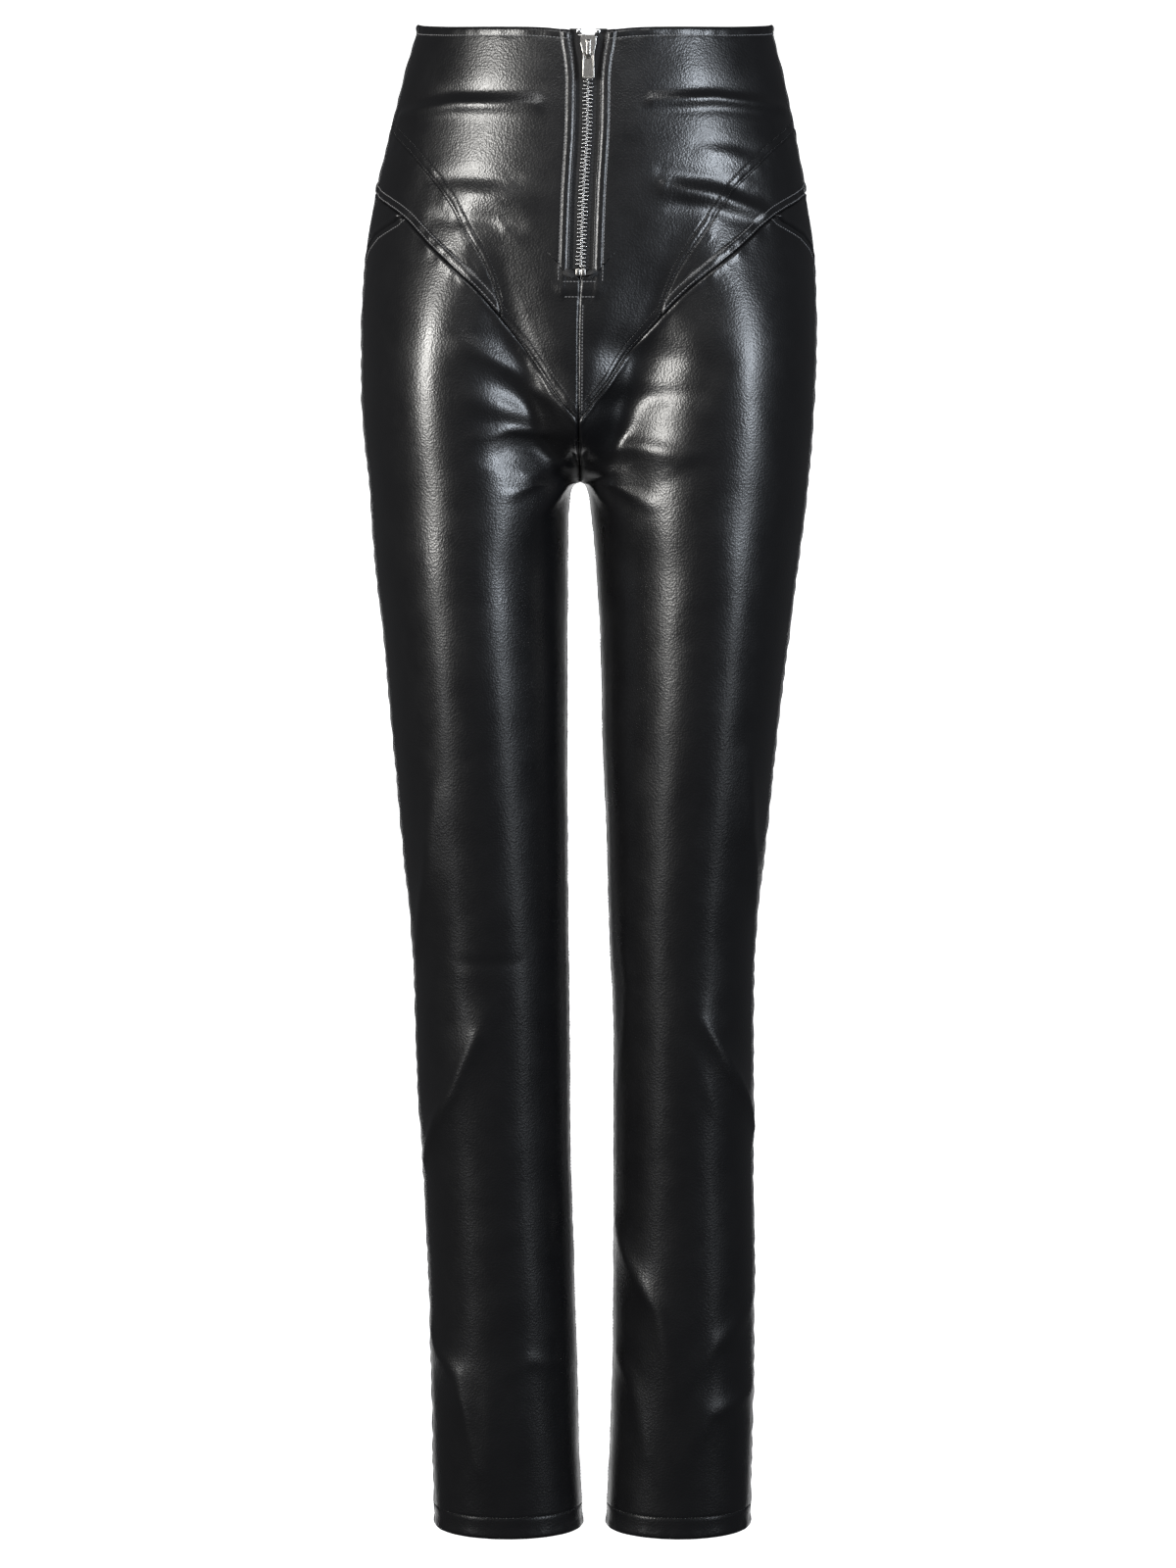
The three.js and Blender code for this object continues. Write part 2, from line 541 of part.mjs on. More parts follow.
// Extrusion of an outline drawn in X (across) and down the zip, from one lift to another.
function plate(shape, from, to) {
  const geometry = new THREE.ExtrudeGeometry(shape, { depth: to - from, bevelEnabled: false, curveSegments: 6 });
  geometry.rotateX(Math.PI / 2);
  geometry.translate(0, -from, 0);
  return geometry;
}

function polygon(points) {
  return new THREE.Shape(points.map(([x, y]) => new THREE.Vector2(x, y)));
}

function sliderPlate(from) {
  const { topHalf, endHalf, length } = SLIDER;
  const corner = 1.6;
  const outline = polygon([
    [-topHalf + corner, 0], [topHalf - corner, 0], [topHalf, -corner], [topHalf, -length * 0.35],
    [endHalf, -length * 0.7], [endHalf, -length + 0.8], [endHalf - 0.8, -length],
    [-endHalf + 0.8, -length], [-endHalf, -length + 0.8], [-endHalf, -length * 0.7],
    [-topHalf, -length * 0.35], [-topHalf, -corner],
  ]);
  return plate(outline, from, from + SLIDER.plate);
}

// The bridge is an arch seen from the side; its feet are sunk into the front plate.
function bridgeGeometry() {
  const { from, to, bar, width, hollow } = BRIDGE;
  const foot = SLIDER.frontPlate + SLIDER.plate - 0.4;
  const crown = hollow + bar;
  const round = 1.5;
  const profile = polygon([
    [from, foot], [from, crown - round], [from + round, crown], [to - round, crown], [to, crown - round],
    [to, foot], [to - bar, foot], [to - bar, hollow - 0.6], [to - bar - 0.6, hollow],
    [from + bar + 0.6, hollow], [from + bar, hollow - 0.6], [from + bar, foot],
  ]);
  const geometry = new THREE.ExtrudeGeometry(profile, { depth: width, bevelEnabled: false });
  const toFrame = new THREE.Matrix4().makeBasis(
    new THREE.Vector3(0, 0, -1),
    new THREE.Vector3(0, -1, 0),
    new THREE.Vector3(-1, 0, 0),
  );
  return geometry.translate(0, 0, -width / 2).applyMatrix4(toFrame);
}

const post = plate(
  polygon([[-1.2, 0], [1.2, 0], [1.2, -2.4], [-1.2, -2.4]]),
  SLIDER.backPlate + 0.4,
  SLIDER.frontPlate + 0.4,
);
const sliderBody = solid(sliderPlate(SLIDER.frontPlate))
  .add(solid(post))
  .add(solid(sliderPlate(SLIDER.backPlate)))
  .add(solid(bridgeGeometry()));
addMesh('zip_slider', solidGeometry(sliderBody), METAL, sliderFrame);

// Pull tab: a rectangle with clipped corners and a slot for the bridge, hanging from its hinge line.
function tabGeometry() {
  const { above, width, length, thickness, holeWidth, holeEnd } = TAB;
  const half = width / 2;
  const clip = 0.9;
  const outline = polygon([
    [-half, above - clip], [-half, clip + above - length], [-half + clip, above - length],
    [half - clip, above - length], [half, clip + above - length], [half, above - clip],
    [half - clip, above], [-half + clip, above],
  ]);
  const h = holeWidth / 2;
  outline.holes.push(new THREE.Path([
    new THREE.Vector2(-h, -0.8), new THREE.Vector2(h, -0.8),
    new THREE.Vector2(h, -holeEnd + 0.6), new THREE.Vector2(h - 0.6, -holeEnd),
    new THREE.Vector2(-h + 0.6, -holeEnd), new THREE.Vector2(-h, -holeEnd + 0.6),
  ]));
  return plate(outline, -thickness / 2, thickness / 2);
}

const tab = addMesh('pull_tab', tabGeometry(), METAL, sliderFrame);
tab.position.set(0, -TAB.axisOut, -TAB.axisAt);

export default group;
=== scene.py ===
import math

import bpy
import numpy as np
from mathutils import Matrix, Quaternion, Vector


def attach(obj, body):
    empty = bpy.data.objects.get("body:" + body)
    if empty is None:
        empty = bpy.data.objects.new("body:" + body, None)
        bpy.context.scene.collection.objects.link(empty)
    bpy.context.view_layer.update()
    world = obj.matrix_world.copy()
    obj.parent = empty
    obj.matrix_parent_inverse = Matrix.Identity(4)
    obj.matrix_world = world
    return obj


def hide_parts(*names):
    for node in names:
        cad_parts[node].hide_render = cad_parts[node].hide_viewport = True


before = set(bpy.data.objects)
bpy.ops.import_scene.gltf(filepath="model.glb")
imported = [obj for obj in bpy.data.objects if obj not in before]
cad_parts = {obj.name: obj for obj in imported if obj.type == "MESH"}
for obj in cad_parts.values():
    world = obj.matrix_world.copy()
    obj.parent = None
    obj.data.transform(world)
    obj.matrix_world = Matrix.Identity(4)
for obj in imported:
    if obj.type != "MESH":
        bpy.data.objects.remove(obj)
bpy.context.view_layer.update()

# All shapes are worked out in millimetres below the waist edge ("drop") and made metres in the mesh.
# side is -1 for the wearer's right leg (left of the picture) and 1 for the other one.
# u runs round one half: 0 centre front, 0.5 side seam, 1 centre back.

print("camera and stage")

cameraSettings = {
    "place": (0.0, -3.4, -0.18),     # metres
    "pitchDown": 5.5636,             # degrees
    "lens": 114.19,                  # on a 36 mm long side
}
stageSettings = {
    "floorDrop": 1.2,                # floor level below the waist edge: the trousers hang
    "wallBehind": 3.0,
    "floorFront": 0.5,
    "halfWidth": (0.47, 0.8),        # at the floor's front and at the wall
    "wallTop": 0.3,
    "curveRadius": 0.7,
    "colour": (0.85, 0.85, 0.85, 1),
    "glow": 0.92,
}


def gridMesh(name, points, closeRows=False, closeColumns=False):
    # Points P[i, j] in metres; quads join (i, j), (i+1, j), (i+1, j+1), (i, j+1).
    columns, rows = points.shape[:2]
    index = np.arange(columns * rows).reshape(columns, rows)
    if closeColumns:
        index = np.concatenate([index, index[:1]], 0)
    if closeRows:
        index = np.concatenate([index, index[:, :1]], 1)
    quads = np.stack([index[:-1, :-1], index[1:, :-1], index[1:, 1:], index[:-1, 1:]], -1).reshape(-1, 4)
    return quadMesh(name, points.reshape(-1, 3), quads)


def quadMesh(name, points, quads):
    # A mesh from an array of points and an array of four-cornered faces.
    mesh = bpy.data.meshes.new(name)
    mesh.vertices.add(len(points))
    mesh.vertices.foreach_set("co", np.ascontiguousarray(points, dtype=np.float32).ravel())
    mesh.loops.add(quads.size)
    mesh.loops.foreach_set("vertex_index", np.ascontiguousarray(quads, dtype=np.int32).ravel())
    mesh.polygons.add(len(quads))
    mesh.polygons.foreach_set("loop_start", np.arange(0, quads.size, quads.shape[1], dtype=np.int32))
    mesh.update(calc_edges=True)
    mesh.validate()
    mesh.polygons.foreach_set("use_smooth", np.ones(len(mesh.polygons), dtype=bool))
    made = bpy.data.objects.new(name, mesh)
    bpy.context.scene.collection.objects.link(made)
    return made


def addCamera(place, pitchDown, lens):
    camera = bpy.data.cameras.new("camera")
    camera.lens = lens
    camera.sensor_width = 36
    camera.sensor_fit = "AUTO"
    camera.clip_end = 30
    made = bpy.data.objects.new("camera", camera)
    made.location = place
    made.rotation_euler = (math.radians(90 - pitchDown), 0, 0)
    bpy.context.scene.collection.objects.link(made)
    bpy.context.scene.camera = made


def addBackdrop(floorDrop, wallBehind, floorFront, halfWidth, wallTop, curveRadius, colour, glow):
    # A floor that turns up into a wall: straight, a quarter circle, straight.
    turn = np.linspace(0, np.pi / 2, 24)
    y = np.concatenate([[floorFront], wallBehind - curveRadius + curveRadius * np.sin(turn), [wallBehind]])
    z = np.concatenate([[0], curveRadius * (1 - np.cos(turn)), [wallTop + floorDrop]]) - floorDrop
    half = np.interp(y, [floorFront, wallBehind], halfWidth)
    points = np.stack([np.stack([end * half, y, z], -1) for end in (-1, 1)])
    backdrop = gridMesh("backdrop", points)
    material = bpy.data.materials.new("pale backdrop")
    material.use_nodes = True
    shader = material.node_tree.nodes["Principled BSDF"]
    shader.inputs["Base Color"].default_value = colour
    shader.inputs["Roughness"].default_value = 0.9
    shader.inputs["Emission Color"].default_value = (1, 1, 1, 1)
    shader.inputs["Emission Strength"].default_value = glow
    # Seen from its back it is clear, so that it hides nothing from a camera behind it.
    nodes, links = material.node_tree.nodes, material.node_tree.links
    mix = nodes.new("ShaderNodeMixShader")
    links.new(nodes.new("ShaderNodeNewGeometry").outputs["Backfacing"], mix.inputs[0])
    links.new(shader.outputs[0], mix.inputs[1])
    links.new(nodes.new("ShaderNodeBsdfTransparent").outputs[0], mix.inputs[2])
    links.new(mix.outputs[0], nodes["Material Output"].inputs["Surface"])
    backdrop.data.materials.append(material)


addCamera(**cameraSettings)
addBackdrop(**stageSettings)

lightSettings = {
    # name: place, aimed at, width, height, roll in degrees, watts, colour
    "strip left": ((-1.63, -1.34, 0.1), (0, 0, 0.1), 0.24, 1.1, -4, 48, (1.0, 0.985, 0.95)),
    "strip right": ((1.67, -1.33, 0.12), (0, 0, 0.12), 0.24, 1.1, 8, 31, (0.84, 0.91, 1.0)),
    "overhead": ((0, -1.65, 1.3), (0, 0, -0.15), 1.6, 0.4, 0, 15, (1.0, 1.0, 1.0)),
    "front": ((0, -3.0, 0.2), (0, 0, -0.1), 1.3, 0.8, 0, 0.7, (1.0, 0.99, 0.97)),
    "low left": ((-1.6, -1.2, -0.85), (0, 0, -0.85), 0.3, 0.7, 0, 1.2, (0.95, 0.97, 1.0)),
    "low right": ((1.6, -1.2, -0.85), (0, 0, -0.85), 0.3, 0.7, 0, 1.2, (0.9, 0.95, 1.0)),
}


def addAreaLight(name, place, target, width, height, roll, watts, colour):
    light = bpy.data.lights.new(name, "AREA")
    light.shape = "RECTANGLE"
    light.size = width
    light.size_y = height
    light.energy = watts
    light.color = colour
    made = bpy.data.objects.new(name, light)
    made.location = place
    toward = Vector(target) - Vector(place)
    turn = toward.to_track_quat("-Z", "Y") @ Quaternion((0, 0, 1), math.radians(roll))
    made.rotation_euler = turn.to_euler()
    bpy.context.scene.collection.objects.link(made)


for lightName, lightValues in lightSettings.items():
    addAreaLight(lightName, *lightValues)



def addStudioAir(colour, strength):
    # Dim light from all round; the camera itself sees plain white beyond the backdrop.
    world = bpy.data.worlds.new("studio air")
    world.use_nodes = True
    nodes, links = world.node_tree.nodes, world.node_tree.links
    dim, white, mix = nodes["Background"], nodes.new("ShaderNodeBackground"), nodes.new("ShaderNodeMixShader")
    dim.inputs["Color"].default_value = colour
    dim.inputs["Strength"].default_value = strength
    white.inputs["Color"].default_value = (1, 1, 1, 1)
    links.new(nodes.new("ShaderNodeLightPath").outputs["Is Camera Ray"], mix.inputs[0])
    links.new(dim.outputs[0], mix.inputs[1])
    links.new(white.outputs[0], mix.inputs[2])
    links.new(mix.outputs[0], nodes["World Output"].inputs["Surface"])
    bpy.context.scene.world = world


addStudioAir((0.93, 0.95, 1.0, 1), 0.06)
bpy.context.scene.view_settings.view_transform = "Standard"

print("form of the garment")

formSettings = {
    "crotchDrop": 304.0,
    "sideLength": 1030.0,
    "halfSeamGap": 0.15,
    "cleftRounding": 17.0,
    "untwisted": 16.0,
    "partStart": 95.0,
    "partEnd": 245.0,
    "partStartFront": 245.0,
    "partStartBack": 215.0,
    # drop, then the value for the left and the right side, as in the solids
    "sideLine": [
        (0, 115.3, 125.0), (10, 118.6, 127.3), (30, 124.5, 132.6), (60, 132.2, 138.8), (110, 144.4, 148.4),
        (150, 151.2, 153.9), (200, 154.2, 155.2), (250, 153.7, 153.9), (304, 149.2, 150.0), (350, 146.1, 144.7),
        (410, 139.6, 136.9), (477, 133.8, 129.1), (545, 128.0, 122.6), (613, 121.5, 115.4), (647, 119.6, 114.2),
        (715, 117.8, 114.4), (784, 114.0, 114.6), (852, 110.8, 115.5), (921, 109.0, 115.1), (991, 107.8, 113.9),
        (1030, 106.5, 112.7)],
    "centreLine": [
        (0, 0.3), (60, -0.3), (110, -3.0), (165, -5.0), (200, -6.3), (265, -6.5), (304, -5.3), (1030, -5.3)],
    "innerLine": [
        (304, -5.3, -5.3), (306, -9.2, -2.0), (309, -11.2, -0.4), (316, -12.3, 1.2), (330, -13.4, 2.7),
        (350, -13.7, 4.7), (377, -14.1, 6.7), (410, -14.1, 8.7), (477, -14.1, 10.1), (545, -14.1, 12.8),
        (613, -13.6, 14.9), (681, -12.9, 17.6), (750, -12.2, 17.8), (850, -9.6, 17.7), (921, -7.5, 17.0),
        (991, -5.5, 14.3), (1030, -3.4, 12.6)],
    # drop, front, widest, back
    "depth": [
        (0, 86, 0, 84), (30, 90, 0, 86), (60, 94, 1, 92), (110, 99, 3, 108), (160, 101, 5, 120),
        (200, 101, 6, 125), (250, 99.5, 6, 121), (304, 98, 5, 104), (340, 97, 3, 94), (380, 95, 0, 86),
        (440, 90.5, -3, 78), (510, 83, -4, 70), (580, 74, -3, 64), (650, 65.5, 0, 60), (720, 59, 4, 62),
        (800, 52, 7, 64), (900, 47, 7, 60), (1000, 43, 5, 54), (1030, 42, 5, 53)],
    "shear": [
        (0, 0, 0), (120, 0, 0), (210, -0.11, -0.14), (290, -0.11, -0.14), (340, -0.08, -0.11),
        (420, -0.07, -0.1), (560, -0.03, -0.04), (700, 0, 0), (1030, 0, 0)],
}


def smoothCurve(rows, column):
    # Monotone cubic through (first column, given column): its slope at a knot is the weighted
    # harmonic mean of the slopes on either side, and zero where they differ in sign.
    x = np.array([row[0] for row in rows], dtype=float)
    y = np.array([row[column] for row in rows], dtype=float)
    step = np.diff(x)
    slope = np.diff(y) / step
    tangent = np.zeros(len(x))
    tangent[0], tangent[-1] = slope[0], slope[-1]
    before, after = slope[:-1], slope[1:]
    same = before * after > 0
    first, second = 2 * step[1:] + step[:-1], step[1:] + 2 * step[:-1]
    safeBefore, safeAfter = np.where(same, before, 1), np.where(same, after, 1)
    tangent[1:-1] = np.where(same, (first + second) / (first / safeBefore + second / safeAfter), 0)

    def value(at):
        at = np.clip(at, x[0], x[-1])
        i = np.clip(np.searchsorted(x, at, side="left") - 1, 0, len(x) - 2)
        t = (at - x[i]) / step[i]
        rise = y[i + 1] - y[i]
        a, b = tangent[i] * step[i], tangent[i + 1] * step[i]
        return y[i] + t * (a + t * (3 * rise - 2 * a - b + t * (a + b - 2 * rise)))

    return value


def ease(t):
    t = np.clip(t, 0, 1)
    return t * t * (3 - 2 * t)


sideLine = {-1: smoothCurve(formSettings["sideLine"], 1), 1: smoothCurve(formSettings["sideLine"], 2)}
innerLine = {-1: smoothCurve(formSettings["innerLine"], 1), 1: smoothCurve(formSettings["innerLine"], 2)}
shearLine = {-1: smoothCurve(formSettings["shear"], 1), 1: smoothCurve(formSettings["shear"], 2)}
centreLine = smoothCurve(formSettings["centreLine"], 1)
frontDepth, widestDepth, backDepth = [smoothCurve(formSettings["depth"], k) for k in (1, 2, 3)]


def sectionPoint(t, side, drop, isBack, parts):
    # t runs from 0 at the side line to 1 at the centre plane or inseam. The depth goes from one wide
    # ellipse over both halves to an ellipse for each leg; the part near the centre does so last.
    outer, inner, base, depth, rounding, legs = parts
    at = base + (outer - base) * (0.5 + 0.5 * np.cos(np.pi * t))
    local = at + (inner - base) * (1 - ease((at - base) / (10 + 20 * ease((drop - 304) / 25))))
    middle, half = (outer + base) / 2, (outer - base) / 2
    lifted = at + (np.hypot(at, rounding) - np.abs(at)) * (1 - ease(at / 90))
    leg = np.sqrt(1 - np.clip((lifted - middle) / half, -1, 1) ** 2)
    wide = np.sqrt(1 - np.clip(at / outer, -1, 1) ** 2)
    f = formSettings
    last = np.where(isBack, f["partStartBack"], f["partStartFront"])
    start = last + (f["partStart"] - last) * ease(at / outer / 0.55)
    near = ease(at / outer / 0.25)
    end = f["crotchDrop"] + (f["partEnd"] - f["crotchDrop"]) * ease(at / outer / 0.55)
    share = np.clip((drop - start) / (end - start), 0, 1)
    weight = np.where(legs, 1.0, share ** 2.2 * (1 - near) + ease(share) * near)
    untwisted = f["untwisted"] * (1 - ease((drop - 180) / 60))
    twist = shearLine[side](drop) * (local - middle) * ease((local - untwisted) / 40)
    y = widestDepth(drop) + depth * (wide * (1 - weight) + leg * weight) + twist
    return side * (f["halfSeamGap"] + local) + centreLine(drop), y


def formPoints(side, u, drop):
    # The point a given share of the arc length round the section at that drop.
    # Returns points in mm and the arc length of the front or back half there.
    shape = np.broadcast(u, drop).shape
    u, drop = [np.broadcast_to(v, shape).ravel().astype(float) for v in (u, drop)]
    isBack = u > 0.5
    crotch = formSettings["crotchDrop"]
    legs = drop >= crotch
    centre = centreLine(drop)
    outer = side * (sideLine[side](drop) * side - centre) - formSettings["halfSeamGap"]
    inner = np.where(legs, side * (innerLine[side](drop) - centre), 0)
    base = inner * ease((drop - crotch) / 60)
    depth = np.where(isBack, backDepth(drop) - widestDepth(drop), -(frontDepth(drop) + widestDepth(drop)))
    rounding = np.where(legs, 0, formSettings["cleftRounding"] * (1 - ease((drop - 240) / 52)))
    parts = [v[:, None] for v in (outer, inner, base, depth, rounding, legs)]
    t = np.linspace(0, 1, 65)[None, :]
    x, y = sectionPoint(t, side, drop[:, None], isBack[:, None], parts)
    run = np.concatenate([
        np.zeros((len(u), 1)), np.cumsum(np.hypot(np.diff(x, axis=1), np.diff(y, axis=1)), axis=1)], 1)
    length = run[:, -1]
    target = length * np.where(isBack, 2 * u - 1, 1 - 2 * u)
    i = np.clip((run < target[:, None]).sum(1), 1, 64)
    k = np.arange(len(u))
    t = (i - 1 + (target - run[k, i - 1]) / (run[k, i] - run[k, i - 1])) / 64
    x, y = sectionPoint(t, side, drop, isBack, [v[:, 0] for v in parts])
    return np.stack([x, y, -drop], -1).reshape(shape + (3,)), length.reshape(shape)


# Folds: soft ridges (+) and troughs (-) along three points each.
# side, u at the three points, drop at the three points, height, width
foldSettings = {
    "large": [
        (-1, 0.449, 0.283, 0.095, 54, 43, 43, -0.7, 7),
        (1, 0.128, 0.249, 0.474, 43, 41, 47, -0.7, 8),
        (1, 0.136, 0.218, 0.311, 106, 111, 123, 1.5, 10),
        (-1, 0.222, 0.16, 0.104, 110, 113, 116, 1.2, 10),
        (-1, 0.178, 0.109, 0.026, 211, 226, 251, 2.8, 9),
        (-1, 0.178, 0.115, 0.037, 246, 254, 268, 2.8, 9),
        (1, 0.026, 0.091, 0.177, 284, 280, 286, 3.0, 12),
        (-1, 0.334, 0.356, 0.428, 514, 562, 626, 1.8, 11),
        (1, 0.352, 0.374, 0.428, 487, 538, 590, 1.8, 11),
        (-1, 0.275, 0.321, 0.433, 669, 711, 769, 2.2, 12),
        (1, 0.28, 0.342, 0.463, 663, 699, 746, 2.2, 12),
        (-1, 0.454, 0.355, 0.307, 894, 918, 981, 2.2, 12),
        (1, 0.052, 0.194, 0.237, 816, 870, 927, 2.2, 12),
        (1, 0.456, 0.302, 0.258, 930, 942, 972, 1.8, 12),
        (-1, 0.64, 0.74, 0.86, 338, 330, 326, -2.6, 15),
        (1, 0.64, 0.74, 0.86, 338, 330, 326, -2.6, 15),
        (-1, 0.56, 0.75, 0.93, 596, 612, 604, -3.0, 13),
        (1, 0.56, 0.75, 0.93, 602, 612, 594, -3.0, 13),
        (-1, 0.58, 0.74, 0.9, 650, 642, 652, -2.2, 12),
        (1, 0.58, 0.76, 0.92, 644, 646, 656, -2.2, 12),
        (-1, 0.6, 0.7, 0.86, 900, 925, 940, 2.0, 13),
        (1, 0.6, 0.72, 0.88, 930, 915, 890, 2.0, 13),
    ],
    "fine": [
        (-1, 0.449, 0.283, 0.095, 53, 42, 42, -0.5, 3),
        (-1, 0.42, 0.26, 0.1, 57, 51, 52, 2.9, 5),
        (1, 0.11, 0.249, 0.474, 56, 54, 60, -0.6, 3.4),
        (1, 0.12, 0.237, 0.43, 49, 47, 52, 2.6, 3.8),
        (1, 0.206, 0.254, 0.347, 83, 84, 96, 0.8, 5),
        (1, 0.2, 0.27, 0.35, 75, 78, 84, -0.6, 4),
        (1, 0.13, 0.22, 0.32, 96, 101, 113, -1.5, 5),
        (1, 0.136, 0.218, 0.311, 107, 112, 123, 2.6, 4.4),
        (1, 0.15, 0.22, 0.311, 118, 121, 131, -1.4, 5),
        (1, 0.03, 0.1, 0.2, 212, 218, 226, -3.4, 13),
        (1, 0.02, 0.09, 0.19, 250, 246, 243, -2.8, 9),
        (-1, 0.3, 0.21, 0.12, 101, 99, 101, -1.1, 5),
        (-1, 0.26, 0.19, 0.11, 125, 127, 131, -1.3, 6),
        (-1, 0.17, 0.12, 0.05, 287, 280, 279, -1.2, 7),
        (1, 0.15, 0.217, 0.271, 124, 124, 124, 0.6, 4),
        (-1, 0.222, 0.16, 0.104, 110, 113, 116, 0.6, 4),
        (-1, 0.178, 0.145, 0.103, 132, 134, 138, 0.6, 4),
        (-1, 0.178, 0.109, 0.026, 211, 226, 251, 0.7, 4),
        (-1, 0.179, 0.127, 0.037, 272, 266, 268, 1.5, 3.6),
        (-1, 0.2, 0.14, 0.05, 310, 297, 290, 1.5, 3.6),
        (-1, 0.12, 0.09, 0.05, 282, 284, 289, 0.6, 4),
        (1, 0.034, 0.091, 0.153, 246, 247, 251, 0.5, 7),
        (1, 0.026, 0.091, 0.177, 280, 276, 283, 1.2, 5),
        (1, 0.045, 0.106, 0.19, 292, 296, 316, 2.4, 4.4),
        (-1, 0.334, 0.356, 0.428, 514, 562, 626, 0.9, 4.5),
        (1, 0.352, 0.374, 0.428, 487, 538, 590, 0.9, 4.5),
        (-1, 0.302, 0.252, 0.194, 626, 627, 626, -0.8, 4),
        (-1, 0.275, 0.33, 0.45, 676, 718, 774, 1.8, 3.8),
        (-1, 0.253, 0.27, 0.289, 661, 676, 695, 0.8, 5),
        (1, 0.28, 0.35, 0.47, 666, 703, 750, 1.8, 3.8),
        (1, 0.255, 0.29, 0.349, 686, 713, 746, 0.8, 6),
        (1, 0.103, 0.122, 0.068, 615, 648, 712, 1.0, 7),
        (-1, 0.454, 0.355, 0.307, 892, 916, 979, 0.9, 5),
        (-1, 0.276, 0.282, 0.286, 912, 953, 1002, 0.8, 6),
        (-1, 0.238, 0.193, 0.073, 914, 904, 914, 0.8, 5),
        (1, 0.052, 0.194, 0.237, 814, 868, 925, 0.9, 5),
        (1, 0.445, 0.316, 0.254, 871, 893, 921, 1.2, 7),
        (1, 0.456, 0.302, 0.258, 930, 942, 972, 0.7, 5),
        (1, 0.056, 0.117, 0.172, 907, 919, 972, 1.0, 7),
        (-1, 0.6, 0.76, 0.9, 346, 342, 340, 0.9, 7),
        (1, 0.6, 0.76, 0.9, 346, 342, 340, 0.9, 7),
        (-1, 0.56, 0.75, 0.93, 594, 610, 602, -1.0, 5),
        (1, 0.56, 0.75, 0.93, 600, 610, 592, -1.0, 5),
        (-1, 0.6, 0.75, 0.86, 628, 624, 630, 0.9, 6),
        (1, 0.62, 0.76, 0.88, 626, 628, 622, 0.9, 6),
        (-1, 0.6, 0.68, 0.78, 690, 720, 735, 1.0, 8),
        (1, 0.6, 0.7, 0.8, 682, 716, 740, 1.0, 8),
    ],
}


def foldHeight(side, u, drop):
    # Sum of bells exp(-(distance / width)^2) about each fold's two straight runs, measured on the
    # unrolled surface, and fading to 45 % at the fold's ends.
    levels = np.array([0, 60, 120, 180, 230, 270, 335, 400, 500, 650, 800, 1030.0])
    girths = [2 * formPoints(side, np.full(levels.shape, at), levels)[1] for at in (0.1, 0.9)]
    front, back = [smoothCurve(np.stack([levels, girth], 1), 1)(drop) for girth in girths]
    girth = np.where(u > 0.5, back, front)
    here = np.stack([u * girth, drop], -1)
    height = np.zeros(drop.shape)
    for fold in foldSettings["large"] + foldSettings["fine"]:
        if fold[0] != side:
            continue
        nearest, place = np.full(drop.shape, 1e9), np.zeros(drop.shape)
        for k in (0, 1):
            start = np.stack([fold[1 + k] * girth, np.full(drop.shape, float(fold[4 + k]))], -1)
            span = np.stack([fold[2 + k] * girth, np.full(drop.shape, float(fold[5 + k]))], -1) - start
            t = np.clip(((here - start) * span).sum(-1) / (span ** 2).sum(-1), 0, 1)
            gap = np.linalg.norm(here - start - span * t[..., None], axis=-1)
            place = np.where(gap < nearest, (k + t) / 2, place)
            nearest = np.minimum(nearest, gap)
        height += fold[7] * (0.45 + 0.55 * np.sin(np.pi * place)) * np.exp(-(nearest / fold[8]) ** 2)
    return height


def softRipple(points):
    # The slight unevenness of worn leather: a few crossing long waves of low height.
    x, y, z = [points[..., k] for k in range(3)]
    return (
        0.22 * np.sin(x / 17 + z / 43 + 1.3 * np.sin(z / 71 + y / 23)) * np.sin(z / 29 + 0.9 * np.sin((x + y) / 37))
        + 0.12 * np.sin(x / 9.3 - z / 21 + 2.1 * np.sin((y - x) / 53)) * np.sin(z / 13.7 + y / 19 + 1.1)
    )


seamLines = {
    "topEdge": [(0, 2.6), (0.12, 0.6), (0.3, -0.8), (0.42, -3), (0.5, -5), (0.75, -3.5), (1, -2.5)],
    "vSeam": [
        (0, 260), (0.05, 233), (0.1, 205), (0.124, 192.5), (0.17, 172.5), (0.25, 147), (0.34, 124), (0.42, 114),
        (0.5, 107.5), (0.6, 108.5), (0.75, 120), (0.9, 134), (1, 140)],
    "slantSeam": [
        (0.124, 192.5), (0.146, 167.5), (0.17, 150.5), (0.2, 134.5), (0.24, 115), (0.28, 101.5), (0.37, 79.5),
        (0.46, 67.5), (0.5, 64)],
    "sideSeam": [(107, 0.31), (124, 0.34), (135, 0.41), (148, 0.47), (166, 0.5), (1030, 0.5)],
    "windowHalf": [(0, 12.3), (13, 10.8), (22, 9.2), (37, 8), (170, 8)],
    "windowEnd": 166.4,
    "seamsMeet": 0.124,
    "corner": 0.34,
}
topEdge, vSeam, slantSeam, sideSeam, windowHalf = [
    smoothCurve(seamLines[name], 1) for name in ("topEdge", "vSeam", "slantSeam", "sideSeam", "windowHalf")]


def arcOf(side, drop, isBack=False):
    # Arc length of the front or back half of the section, in mm.
    drop = np.asarray(drop, dtype=float)
    return formPoints(side, np.full(drop.shape, 0.9 if isBack else 0.1), drop)[1]


